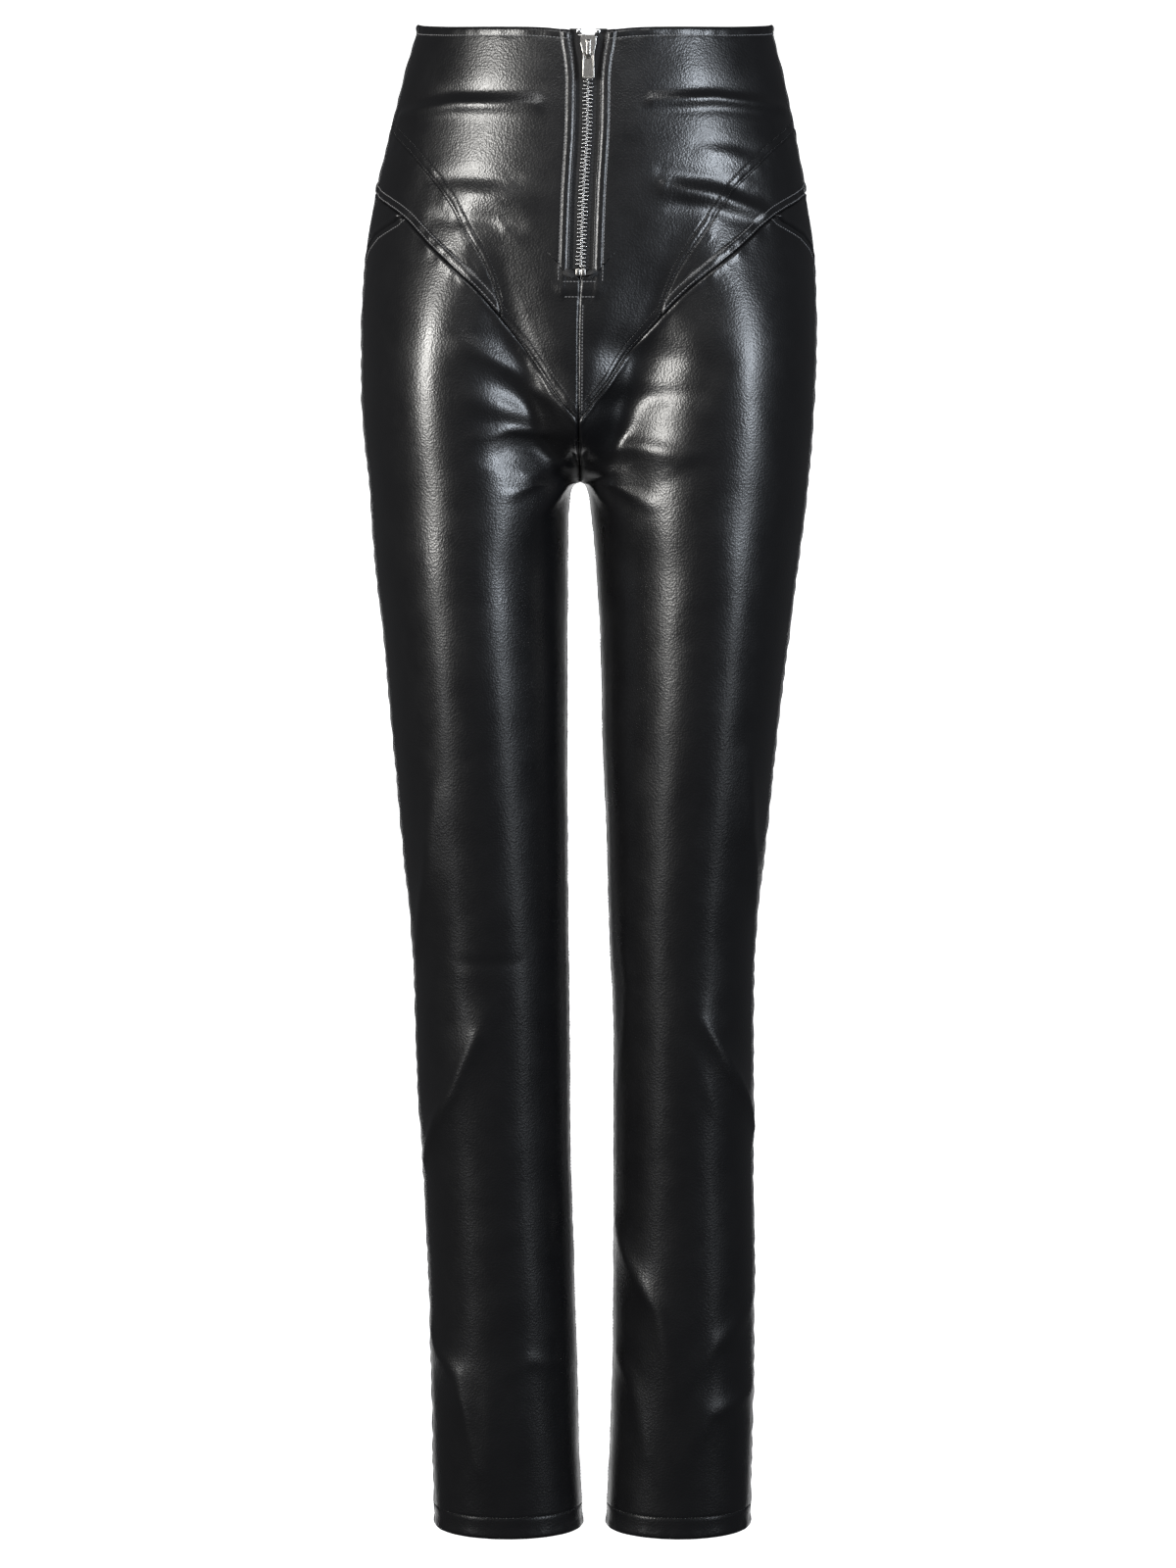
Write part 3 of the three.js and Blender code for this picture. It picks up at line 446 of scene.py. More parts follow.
def stretchRows(rows, top, bottom, keepTop, keepBottom, endScale):
    # Rows of one column made to fit another between top and bottom: unchanged steps for keepTop at
    # the upper end, steps times endScale for keepBottom at the lower end, evenly stretched between.
    top, bottom, endScale = [v[:, None] for v in (top, bottom, endScale)]
    run, length = rows[None, :] - rows[0], rows[-1] - rows[0]
    a, b = top + keepTop, bottom - keepBottom * endScale
    middle = a + (b - a) * (run - keepTop) / (length - keepTop - keepBottom)
    drop = np.where(run < keepTop, top + run, middle)
    return np.where(length - run < keepBottom, bottom - (length - run) * endScale, drop)


def edgeSpaced(start, end, perMm, nearStart, nearEnd, middleSteps):
    # Positions between start and end: at the listed distances (mm) from either end, evenly between.
    start, end, perMm = [np.asarray(v, dtype=float)[..., None] for v in (start, end, perMm)]
    need = (nearStart[-1] + nearEnd[-1]) * perMm
    squeeze = np.minimum(1, 0.9 * np.abs(end - start) / need)
    a = start + np.array(nearStart) * perMm * squeeze
    b = end - np.array(nearEnd[::-1]) * perMm * squeeze
    t = np.linspace(0, 1, middleSteps + 1)[1:-1]
    return np.concatenate([a, a[..., -1:] + (b[..., :1] - a[..., -1:]) * t, b], -1)


seamedEdge = [0, 0.35, 0.7, 1.1, 1.6, 2.2, 2.9, 3.8, 5.0, 6.5, 8.5]
stitchedEdge = [0, 0.35, 0.7, 1.1, 1.6, 2.2, 2.9, 3.8, 4.6, 5.1, 5.5, 5.9, 6.3, 6.8, 7.5, 8.5, 10.0]
turnedEdge = [0, 0.4, 0.9, 1.5, 2.2, 3.2, 4.4, 5.2, 5.7, 6.1, 6.6, 7.3, 8.6]
hemEdge = [0, 0.4, 0.9, 1.6, 2.6, 4.5, 7.0, 10, 12.5, 13.9, 14.5, 15.0, 15.5, 16.1, 17.5, 19.5]
freeEdge = [0, 2.5]

reliefSettings = {
    # beside a seam: valley in it, raised band from the seam to bandEnd, soft shoulder
    "seam": {"valley": -1.0, "valleyWidth": 0.8, "band": 0.0, "bandEnd": 6.0, "puff": 0.35, "puffAt": 2.4, "puffWidth": 1.8},
    "raised": {"valley": -0.9, "valleyWidth": 0.6, "band": 0.62, "bandEnd": 7.0, "puff": 0, "puffAt": 3.5, "puffWidth": 2},
    "turned": {"valley": -0.8, "valleyWidth": 0.8, "band": 0.25, "bandEnd": 6.8, "puff": 0.2, "puffAt": 2.2, "puffWidth": 1.8},
    "flat": {"valley": -0.25, "valleyWidth": 0.6, "band": 0.12, "bandEnd": 7.4, "puff": 0, "puffAt": 3.8, "puffWidth": 2.4},
    "free": {"valley": 0, "valleyWidth": 1, "band": 0, "bandEnd": 1, "puff": 0, "puffAt": 2, "puffWidth": 1},
    "stitchValley": -0.34,
    "stitchWidth": 0.7,
    "pucker": 0.3,
}


def edgeRelief(distance, along, kind, stitchAt, pucker):
    # Across an edge: a narrow valley at the seam, a soft puff beside it and a shallow groove under
    # each row of stitches; along it, small waves that fade within a few millimetres.
    r = reliefSettings[kind]
    height = r["valley"] * np.exp(-(distance / r["valleyWidth"]) ** 2)
    height += r["puff"] * np.exp(-((distance - r["puffAt"]) / r["puffWidth"]) ** 2)
    height += r["band"] * (1 - ease((distance - r["bandEnd"] + 0.9) / 1.1))
    for at in stitchAt:
        height += reliefSettings["stitchValley"] * np.exp(-((distance - at) / reliefSettings["stitchWidth"]) ** 2)
    wave = np.sin(along / 2.3 + 1.7 * np.sin(along / 11)) + 0.6 * np.sin(along / 5.1 + 2.2 * np.sin(along / 23))
    return height + pucker * reliefSettings["pucker"] * wave * np.exp(-((distance - 3) / 4.2) ** 2)


def formNormals(side, u, drop):
    # Outward direction: cross product of short steps round and down the smooth form. Within 6 mm of
    # the crotch level it goes evenly from the direction above to the one below.
    crotch = formSettings["crotchDrop"]
    directions = []
    for at, low, high in (
        (np.minimum(drop, crotch - 6), -1.5, 1.5), (np.maximum(drop, crotch + 6), -1.5, 1.5),
    ):
        round = formPoints(side, np.minimum(u + 0.004, 1), at)[0] - formPoints(side, np.maximum(u - 0.004, 0), at)[0]
        down = formPoints(side, u, at + high)[0] - formPoints(side, u, at + low)[0]
        normal = np.cross(round, down)
        directions.append(normal / np.maximum(np.linalg.norm(normal, axis=-1, keepdims=True), 1e-9) * (-side))
    share = ease((drop - crotch + 6) / 12)[..., None]
    normal = directions[0] * (1 - share) + directions[1] * share
    return normal / np.linalg.norm(normal, axis=-1, keepdims=True)


stitchRuns = []


def leatherPanel(name, nodes, side, u, drop, edges, extra=None):
    # A panel on the form: points of the smooth form, moved out along its normal by folds, ripple
    # and the relief beside each edge. edges: first, last, top, bottom -> (kind, stitch rows, pucker).
    points = formPoints(side, u, drop)[0]
    normal = formNormals(side, u, drop)
    acrossStep, downStep = np.gradient(points, axis=0), np.gradient(points, axis=1)
    tilt = np.linalg.norm(np.cross(acrossStep, downStep), axis=-1)
    tilt /= np.linalg.norm(acrossStep, axis=-1) * np.linalg.norm(downStep, axis=-1)
    across, down = runLength(points, 0), runLength(points, 1)
    away = lambda run, lean: run * (lean + (1 - lean) * ease(run / 25))
    distances = {
        "first": away(across, tilt[:1]), "last": away(across[-1:] - across, tilt[-1:]),
        "top": away(down, tilt[:, :1]), "bottom": away(down[:, -1:] - down, tilt[:, -1:]),
    }
    lengths = {"first": down, "last": down, "top": across, "bottom": across}
    height = foldHeight(side, u, drop) + softRipple(points)
    for edge, (kind, rows, pucker) in edges.items():
        height += edgeRelief(distances[edge], lengths[edge], kind, rows, pucker)
    rowsToSew = [(distances[edge], edge, at, True) for edge in edges for at in edges[edge][1]]
    if extra:
        more, moreRows = extra(points, drop, height)
        height += more
        rowsToSew += moreRows
    surface = points + normal * height[..., None]
    aside, moved = [side * (at[..., 0] - centreLine(drop)) for at in (points, surface)]
    aside = aside + (moved - aside) * ease(aside / 4)
    shut = np.maximum(aside - 0.13 * np.exp(-np.maximum(aside, 0) / 2), 0.02)
    closed = drop < formSettings["crotchDrop"] - 0.05
    surface[..., 0] = np.where(closed, centreLine(drop) + side * shut, surface[..., 0])
    order = surface[::-1] if side > 0 else surface
    piece = gridMesh(name, order / 1000)
    for field, edge, at, keep in rowsToSew:
        # Flat seams and the hem's turned edge get the plain dark thread; the other rows get the same thread with a
        # painted highlight, a lighter colour standing in for its sheen.
        isDark = edges[edge][0] == "flat" or (edges[edge][0], edge) == ("turned", "bottom")
        thread = "dark" if isDark and keep is True else "light"
        stitchRuns.append((thread, contour(surface, normal, field, edge, at, keep)))
    for material in (leatherMaterial, liningMaterial):
        piece.data.materials.append(material)
    wall = piece.modifiers.new("wall", "SOLIDIFY")
    wall.thickness = 0.0014
    wall.offset = -1
    wall.use_rim = True
    wall.material_offset = 1
    wall.material_offset_rim = 0
    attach(piece, "garment")
    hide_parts(*nodes)
    return piece


def runLength(points, axis):
    # Length along the grid lines of one direction, from 0 at their start.
    step = np.linalg.norm(np.diff(points, axis=axis), axis=-1)
    start = np.zeros_like(np.take(step, [0], axis))
    return np.concatenate([start, np.cumsum(step, axis)], axis)


def contour(surface, normal, field, edge, at, keep=True):
    # The line on the surface where the field has a value: on each grid line that leaves the edge,
    # the point between the two grid points on either side of it. keep says which of them stay.
    axis = 0 if edge in ("first", "last") else 1
    grid, out, away = [np.moveaxis(v, axis, 0) for v in (surface, normal, field)]
    if edge in ("last", "bottom"):
        grid, out, away = grid[::-1], out[::-1], away[::-1]
    i = np.clip((away < at).sum(0), 1, len(away) - 1)
    k = np.arange(grid.shape[1])
    low, high = away[i - 1, k], away[i, k]
    t = np.clip((at - low) / np.maximum(high - low, 1e-9), 0, 1)[:, None]
    line = grid[i - 1, k] * (1 - t) + grid[i, k] * t
    direction = out[i - 1, k] * (1 - t) + out[i, k] * t
    return (line, direction) if keep is True else (line[keep], direction[keep])


print("materials")

leatherSettings = {
    "colour": (0.0058, 0.0058, 0.0065, 1),
    "roughness": (0.26, 0.35),
    "grainSize": 760,
    "grainDepth": 0.00011,
    "creaseSize": 210,
    "creaseDepth": 0.00004,
}


def newMaterial(name):
    material = bpy.data.materials.new(name)
    material.use_nodes = True
    tree = material.node_tree
    return material, tree, tree.nodes["Principled BSDF"]


def linkNode(tree, kind, **values):
    node = tree.nodes.new(kind)
    for key, value in values.items():
        if key in node.inputs:
            node.inputs[key].default_value = value
        else:
            setattr(node, key, value)
    return node


def makeLeather(colour, roughness, grainSize, grainDepth, creaseSize, creaseDepth):
    # Glossy coated leather: fine pebble grain, soft larger creases, patchy shine.
    material, tree, shader = newMaterial("leather")
    place = linkNode(tree, "ShaderNodeTexCoord").outputs["Object"]
    grain = linkNode(tree, "ShaderNodeTexVoronoi", feature="SMOOTH_F1", Scale=grainSize, Smoothness=0.6)
    crease = linkNode(tree, "ShaderNodeTexNoise", Scale=creaseSize, Detail=5, Roughness=0.6)
    patch = linkNode(tree, "ShaderNodeTexNoise", Scale=38, Detail=4, Roughness=0.65)
    for node in (grain, crease, patch):
        tree.links.new(place, node.inputs["Vector"])
    shine = linkNode(tree, "ShaderNodeMapRange")
    shine.inputs["From Min"].default_value = 0.3
    shine.inputs["From Max"].default_value = 0.7
    shine.inputs["To Min"].default_value = roughness[0]
    shine.inputs["To Max"].default_value = roughness[1]
    tree.links.new(patch.outputs["Fac"], shine.inputs["Value"])
    tree.links.new(shine.outputs["Result"], shader.inputs["Roughness"])
    soft = linkNode(tree, "ShaderNodeBump", Strength=1.0, Distance=creaseDepth)
    fine = linkNode(tree, "ShaderNodeBump", Strength=1.0, Distance=grainDepth)
    tree.links.new(crease.outputs["Fac"], soft.inputs["Height"])
    tree.links.new(grain.outputs["Distance"], fine.inputs["Height"])
    tree.links.new(soft.outputs["Normal"], fine.inputs["Normal"])
    tree.links.new(fine.outputs["Normal"], shader.inputs["Normal"])
    shader.inputs["Base Color"].default_value = colour
    shader.inputs["IOR"].default_value = 1.5
    shader.inputs["Specular IOR Level"].default_value = 0.62
    return material


def makeLining():
    # Plain black twill: fine slanting ribs.
    material, tree, shader = newMaterial("lining")
    place = linkNode(tree, "ShaderNodeTexCoord").outputs["Object"]
    rib = linkNode(tree, "ShaderNodeTexWave", Scale=420, Distortion=0.4)
    rib.bands_direction = "DIAGONAL"
    tree.links.new(place, rib.inputs["Vector"])
    bump = linkNode(tree, "ShaderNodeBump", Strength=0.6, Distance=0.0002)
    tree.links.new(rib.outputs["Fac"], bump.inputs["Height"])
    tree.links.new(bump.outputs["Normal"], shader.inputs["Normal"])
    shader.inputs["Base Color"].default_value = (0.012, 0.012, 0.013, 1)
    shader.inputs["Roughness"].default_value = 0.7
    return material


leatherMaterial = makeLeather(**leatherSettings)
liningMaterial = makeLining()

print("leather panels")

sideName = {-1: "left", 1: "right"}

upperFrontSettings = {
    "flat": (0.19, 0.27),
    "zipStitch": (1.3, 6.6),       # from the opening's edge
    "boxEnds": (168.2, 178.3),     # drops of the two short rows under the zip
    "centreStitch": 2.6,           # beside the centre front seam, on the +1 side
    "topStitch": (5.9,),
    "seamStitch": (1.4, 6.4),
}


def upperFrontPanel(side, flat, zipStitch, boxEnds, centreStitch, topStitch, seamStitch):
    # Waist edge to the slanting and V seams. Columns: u from the zip opening or centre front to the
    # side; rows: from the top edge to the seams, closer together at the lower end of the opening.
    end = seamLines["windowEnd"]
    arc = arcOf(side, 100.0)
    meet = seamLines["seamsMeet"]
    lowColumns = edgeSpaced(0, meet, 1 / (2 * arc), stitchedEdge, [0, 0.6, 1.4, 2.6, 4.5], 10)
    highColumns = edgeSpaced(meet, 0.5, 1 / (2 * arc), [0, 0.6, 1.4, 2.6, 4.5], seamedEdge, 48)
    columns = np.concatenate([lowColumns, highColumns[1:]])
    lowerEdge = lambda at: np.where(at < meet, vSeam(at), slantSeam(at))
    bottom = lowerEdge(columns)
    slope = (lowerEdge(columns - 0.03) - lowerEdge(columns + 0.03)) / (0.12 * arc)
    upper = edgeSpaced(topEdge(0), end - 1.2, 1.0, turnedEdge, [0, 1.5, 4], 52)
    lower = edgeSpaced(end, 260.0, 1.35, [0, 0.5, 1.0, 1.8, 3, 5], stitchedEdge, 26)
    rows = np.concatenate([upper, lower])
    drop = stretchRows(rows, topEdge(columns), bottom, 9.0, 12.0, np.sqrt(1 + slope ** 2) / 1.35)
    opening = (windowHalf(np.minimum(rows, end)) - 0.15) / (2 * arcOf(side, rows)) * (1 - ease((rows - end) / 45))
    near = np.where(rows[None, :] < end - 0.5, 1, ease(columns * 2 * arc / 18)[:, None])
    u = columns[:, None] + opening[None, :] * near * ease(1 - columns / 0.11)[:, None]

    def zipRelief(points, drop, height):
        # Grooves that follow the opening, close in a stitched box below it, and run on down the
        # centre seam; between the two long rows the leather is raised by its folded layers.
        aside = side * (points[..., 0] - centreLine(drop))
        beside = aside - windowHalf(drop)
        r = reliefSettings
        groove = lambda d: r["stitchValley"] * np.exp(-(d / r["stitchWidth"]) ** 2)
        above = drop < boxEnds[1] + 0.6
        more = np.where(above, groove(beside - zipStitch[1]), 0)
        more += np.where(drop < boxEnds[0] + 0.4, groove(beside - zipStitch[0]), 0)
        more += np.where(above, 0.55 * np.exp(-((beside - 3.8) / 2.2) ** 4), 0)
        inBox = beside < zipStitch[1] + 0.5
        for boxEnd in boxEnds:
            more += np.where(inBox, groove(drop - boxEnd), 0)
        more += np.where(inBox & above, 0.5 * np.exp(-((drop - 173.2) / 3.6) ** 4), 0)
        edge = np.where(drop > end - 0.5, aside, beside)
        below = drop > boxEnds[1]
        kind = r["seam"]
        more += np.where(drop > end - 0.5, kind["valley"], -0.5) * np.exp(-(edge / 0.9) ** 2)
        more += np.where(below, groove(aside - centreStitch), 0) * (side > 0)
        middle = drop[len(drop) // 12]
        rows = [
            (beside, "first", zipStitch[0], middle < boxEnds[0]),
            (beside, "first", zipStitch[1], middle < boxEnds[1]),
        ]
        nearSeam = aside[:, np.argmin(np.abs(drop[0] - boxEnds[0]))] < windowHalf(170) + zipStitch[1]
        rows += [(drop, "top", boxEnd, nearSeam) for boxEnd in boxEnds]
        if side > 0:
            rows.append((aside, "first", centreStitch, (middle > boxEnds[1]) & (middle < 252)))
        return more, rows

    return leatherPanel(
        f"upper_front_leather_{sideName[side]}", [f"upper_front_{sideName[side]}"], side, u, drop,
        {"first": ("free", (), 0), "last": ("seam", (), 0.6),
         "top": ("turned", topStitch, 0.5), "bottom": ("flat", seamStitch, 0.5)}, zipRelief)


hipSettings = {"flat": (0.2, 0.055), "seamStitch": (1.5, 6.0)}


def hipTriangle(side, flat, seamStitch):
    # Between the slanting seam and the V seam: columns from the point to the side.
    arc = arcOf(side, 110.0)
    u = edgeSpaced(0.1275, 0.5, 1 / (2 * arc), [0, 1, 2.5], seamedEdge, 60)
    top, bottom = slantSeam(u), vSeam(u)
    slope = np.sqrt(1 + (np.gradient(bottom, u) / (2 * arc)) ** 2)
    drop = edgeSpaced(top, bottom, slope, seamedEdge, stitchedEdge, 14)
    return leatherPanel(
        f"hip_panel_leather_{sideName[side]}", [f"hip_panel_{sideName[side]}"], side, u[:, None] + 0 * drop, drop,
        {"first": ("seam", (), 0), "last": ("seam", (), 0.6),
         "top": ("flat", (), 0.5), "bottom": ("raised", seamStitch, 1.0)})


backYokeSettings = {"flat": (0.21, 0.145), "topStitch": (5.9,), "seamStitch": (1.5, 6.0)}


def backYokePanel(side, flat, topStitch, seamStitch):
    arc = arcOf(side, 70.0, True)
    u = edgeSpaced(0.5, 1.0, 1 / (2 * arc), seamedEdge, seamedEdge, 62)
    slope = np.sqrt(1 + (np.gradient(vSeam(u), u) / (2 * arc)) ** 2)
    drop = edgeSpaced(topEdge(u), vSeam(u), slope, turnedEdge, stitchedEdge, 34)
    return leatherPanel(
        f"back_yoke_leather_{sideName[side]}", [f"back_yoke_{sideName[side]}"], side, u[:, None] + 0 * drop, drop,
        {"first": ("seam", (), 0.6), "last": ("seam", (), 0.5),
         "top": ("turned", topStitch, 0.5), "bottom": ("raised", seamStitch, 0.8)})


legSettings = {
    "frontFlat": (0.32, 0.92),
    "backFlat": (0.34, 0.93),
    "hemStitch": (15.0,),
    "inseamStitch": (2.2,),
    "sideStitch": (5.0,),
}


def legPanel(side, isBack, frontFlat, backFlat, hemStitch, inseamStitch, sideStitch):
    # V seam to hem. Rows are closer together at the V seam, round the crotch and at the hem;
    # columns run from the inseam to the side seam, which bends forward over the hip.
    crotch, hem, corner = formSettings["crotchDrop"], formSettings["sideLength"], seamLines["corner"]
    upper = edgeSpaced(vSeam(corner), crotch - 14, 1.0, seamedEdge, [0, 4], 52)
    turn = crotch + np.array([-12, -10, -8, -6.4, -5, -3.8, -2.8, -1.9, -1.1, -0.5, -0.02, 0, 0.4, 1, 1.7, 2.6,
                              3.8, 5.4, 7.4, 10, 13])
    lower = edgeSpaced(crotch + 16, hem, 1.0, [0, 3], hemEdge, 222)
    rows = np.concatenate([upper, turn, lower])
    seam = np.minimum(sideSeam(rows), 0.5)
    girth = 2 * arcOf(side, rows, isBack)
    if isBack:
        u = edgeSpaced(seam, np.ones(len(rows)), 1 / girth, seamedEdge, seamedEdge, 58).T
    else:
        u = edgeSpaced(np.zeros(len(rows)), seam, 1 / girth, seamedEdge, seamedEdge, 54).T
    start = u[:, 0]
    slope = np.sqrt(1 + (np.gradient(vSeam(start), start) / girth[0]) ** 2)
    upperRows = rows[rows < crotch]
    steep = np.minimum(slope, 0.45 * (crotch - vSeam(start)) / 9.0)
    fitted = stretchRows(
        (vSeam(corner) + crotch - upperRows)[::-1], 0 * start + 0.04, crotch - vSeam(start), 0.02, 9.0, steep)
    drop = np.broadcast_to(rows[None, :], (len(start), len(rows))).copy()
    drop[:, : len(upperRows)] = (crotch - fitted)[:, ::-1]
    name = "back" if isBack else "front"
    inner, outer = ("last", "first") if isBack else ("first", "last")
    return leatherPanel(
        f"leg_{name}_leather_{sideName[side]}", [f"leg_{name}_{sideName[side]}"], side, u, drop,
        {inner: ("seam", inseamStitch if isBack else (), 0.6), outer: ("seam", () if isBack else sideStitch, 0.9),
         "top": ("seam", (), 0.8), "bottom": ("turned", hemStitch, 0.5)})


for side in (-1, 1):
    upperFrontPanel(side, **upperFrontSettings)
    hipTriangle(side, **hipSettings)
    backYokePanel(side, **backYokeSettings)
    legPanel(side, False, **legSettings)
    legPanel(side, True, **legSettings)

print("stitches")

stitchSettings = {
    "pitch": 2.35,
    "length": 1.95,
    "radius": 0.34,
    "sink": 0.1,
    "crest": 0.22,
    "dark": (0.008, 0.008, 0.009, 1),
    # light: the dark thread's colour raised to stand in for its sheen, a painted highlight
    "light": (0.17, 0.17, 0.175, 1),
}


def sewStitches(thread, pitch, length, radius, sink, crest, dark, light):
    # Stitches at even spacing along each run. One stitch is a spindle: rings of six points whose
    # radius falls off to the ends, bowed up in the middle so that its ends dip into the leather.
    spots, tangents, normals = [], [], []
    for kind, (line, direction) in stitchRuns:
        if kind != thread:
            continue
        step = np.linalg.norm(np.diff(line, axis=0), axis=1)
        keep = np.concatenate([[True], step > 1e-4])
        line, direction = line[keep], direction[keep]
        if len(line) < 3:
            continue
        at = np.concatenate([[0], np.cumsum(np.linalg.norm(np.diff(line, axis=0), axis=1))])
        count = int((at[-1] - 1.0) / pitch)
        if count < 1:
            continue
        middle = (at[-1] - count * pitch) / 2 + pitch * (np.arange(count) + 0.5)
        sample = lambda values, where: np.stack([np.interp(where, at, values[:, k]) for k in range(3)], 1)
        a, b = sample(line, middle - length / 2), sample(line, middle + length / 2)
        spots.append(sample(line, middle))
        tangents.append(b - a)
        normals.append(sample(direction, middle))
    spot, tangent, normal = [np.concatenate(v) for v in (spots, tangents, normals)]
    tangent /= np.linalg.norm(tangent, axis=1, keepdims=True)
    aside = np.cross(normal, tangent)
    aside /= np.linalg.norm(aside, axis=1, keepdims=True)
    normal = np.cross(tangent, aside)
    along = np.array([-0.5, -0.42, -0.2, 0.2, 0.42, 0.5])
    ring = radius * np.array([0.12, 0.7, 1, 1, 0.7, 0.12])
    lift = crest * (1 - (2 * along) ** 2) - sink
    turn = np.arange(6) * np.pi / 3
    shape = (
        (along * length)[:, None, None] * tangent[:, None, None, :]
        + (lift[:, None] + ring[:, None] * np.cos(turn)[None, :])[..., None] * normal[:, None, None, :]
        + (ring[:, None] * np.sin(turn)[None, :])[..., None] * aside[:, None, None, :]
    )
    points = (spot[:, None, None, :] + shape).reshape(-1, 3)
    i, j = np.meshgrid(np.arange(5), np.arange(6), indexing="ij")
    one = np.stack([i * 6 + j, i * 6 + (j + 1) % 6, (i + 1) * 6 + (j + 1) % 6, (i + 1) * 6 + j], -1).reshape(-1, 4)
    quads = (one[None] + 36 * np.arange(len(spot))[:, None, None]).reshape(-1, 4)
    piece = quadMesh(f"stitching_{thread}", points / 1000, quads[:, ::-1])
    material, tree, shader = newMaterial(f"{thread} thread")
    place = linkNode(tree, "ShaderNodeTexCoord").outputs["Object"]
    twist = linkNode(tree, "ShaderNodeTexWave", Scale=900, Distortion=0.5)
    twist.bands_direction = "DIAGONAL"
    tree.links.new(place, twist.inputs["Vector"])
    bump = linkNode(tree, "ShaderNodeBump", Strength=0.5, Distance=0.0001)
    tree.links.new(twist.outputs["Fac"], bump.inputs["Height"])
    tree.links.new(bump.outputs["Normal"], shader.inputs["Normal"])
    # The lighter thread colour is a painted highlight; the thread itself is the dark one.
    shader.inputs["Base Color"].default_value = dark if thread == "dark" else light
    shader.inputs["Roughness"].default_value = 0.38
    piece.data.materials.append(material)
    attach(piece, "garment")
    print(f"  {len(spot)} stitches")
    return piece


# Two meshes: the plain dark thread, and the same thread lightened as a painted highlight.
for thread in ("dark", "light"):
    sewStitches(thread, **stitchSettings)

print("zip")

zipSettings = {
    "slider": {"top": 6.5, "length": 16.5},
    "parting": [(0, 6), (4, 4.4), (10, 1.75), (16, 0.15), (200, 0.15)],
    "teeth": {"first": 6.2, "last": 158.2, "pitch": 2.55, "thick": 1.0, "outer": 3.45, "reach": 0.95},
    "tape": {"start": 1.6, "end": 172, "outer": 12.4, "inner": 0.3, "face": -2.6, "thick": 0.9},
    "tab": {
        "axisAt": 12, "axisOut": 3.1, "above": 0.8, "width": 8, "length": 18.2, "thickness": 1.3,
        "bar": 1.0, "rise": 0.35},
    "metalColour": (0.5, 0.485, 0.46, 1),
    "toothColour": (0.86, 0.86, 0.86, 1),
}
parting = smoothCurve(zipSettings["parting"], 1)


def zipPoints(offset, drop, lift):
    # Beside the zip: offset from its centre line, drop down it, lift out of the leather's face.
    offset, drop, lift = np.broadcast_arrays(np.asarray(offset, float), drop, lift)
    face = lambda at: formPoints(1, np.zeros(at.shape), at)[0][..., 1]
    high, low = drop + 3, np.maximum(drop - 3, 0)
    slope = (face(high) - face(low)) / (high - low)
    out = np.stack([0 * slope, -1 + 0 * slope, -slope], -1) / np.sqrt(1 + slope ** 2)[..., None]
    base = np.stack([centreLine(drop) + offset, face(np.array(drop)), -drop], -1)
    return base + out * lift[..., None]


def sliderPoints(x, v, w):
    # The slider's own frame: x across, v down the zip from its top end, w out of the leather.
    top = zipPoints(0.0, zipSettings["slider"]["top"], 0.0)
    end = zipPoints(0.0, zipSettings["slider"]["top"] + zipSettings["slider"]["length"], 0.0)
    angle = math.atan2(end[1] - top[1], top[2] - end[2])
    x, v, w = np.broadcast_arrays(np.asarray(x, float), v, w)
    y, z = -w, -v
    return np.stack([
        top[0] + x, top[1] + y * math.cos(angle) - z * math.sin(angle),
        top[2] + y * math.sin(angle) + z * math.cos(angle)], -1)


def makeMetal(name, colour, roughness, scratchSize):
    # Plated metal: fine scratches in its shine and a slight unevenness of its face.
    material, tree, shader = newMaterial(name)
    place = linkNode(tree, "ShaderNodeTexCoord").outputs["Object"]
    noise = linkNode(tree, "ShaderNodeTexNoise", Scale=scratchSize, Detail=6, Roughness=0.7)
    tree.links.new(place, noise.inputs["Vector"])
    shine = linkNode(tree, "ShaderNodeMapRange")
    shine.inputs["To Min"].default_value = roughness[0]
    shine.inputs["To Max"].default_value = roughness[1]
    tree.links.new(noise.outputs["Fac"], shine.inputs["Value"])
    tree.links.new(shine.outputs["Result"], shader.inputs["Roughness"])
    bump = linkNode(tree, "ShaderNodeBump", Strength=0.35, Distance=0.00004)
    tree.links.new(noise.outputs["Fac"], bump.inputs["Height"])
    tree.links.new(bump.outputs["Normal"], shader.inputs["Normal"])
    shader.inputs["Base Color"].default_value = colour
    shader.inputs["Metallic"].default_value = 1.0
    return material


def makeTapeCloth():
    # Woven tape: ribs along and across, as a fine basket of bumps.
    material, tree, shader = newMaterial("zip tape")
    place = linkNode(tree, "ShaderNodeTexCoord").outputs["Object"]
    ribs = []
    for direction in ("X", "Z"):
        rib = linkNode(tree, "ShaderNodeTexWave", Scale=330, Distortion=0.2)
        rib.bands_direction = direction
        tree.links.new(place, rib.inputs["Vector"])
        ribs.append(rib.outputs["Fac"])
    weave = linkNode(tree, "ShaderNodeMath", operation="MULTIPLY")
    tree.links.new(ribs[0], weave.inputs[0])
    tree.links.new(ribs[1], weave.inputs[1])
    bump = linkNode(tree, "ShaderNodeBump", Strength=0.8, Distance=0.0002)
    tree.links.new(weave.outputs["Value"], bump.inputs["Height"])
    tree.links.new(bump.outputs["Normal"], shader.inputs["Normal"])
    shader.inputs["Base Color"].default_value = (0.010, 0.010, 0.011, 1)
    shader.inputs["Roughness"].default_value = 0.75
    return material


metalMaterial = makeMetal("nickel", zipSettings["metalColour"], (0.2, 0.38), 900)
toothMaterial = makeMetal("tooth metal", zipSettings["toothColour"], (0.16, 0.3), 1200)
tapeMaterial = makeTapeCloth()


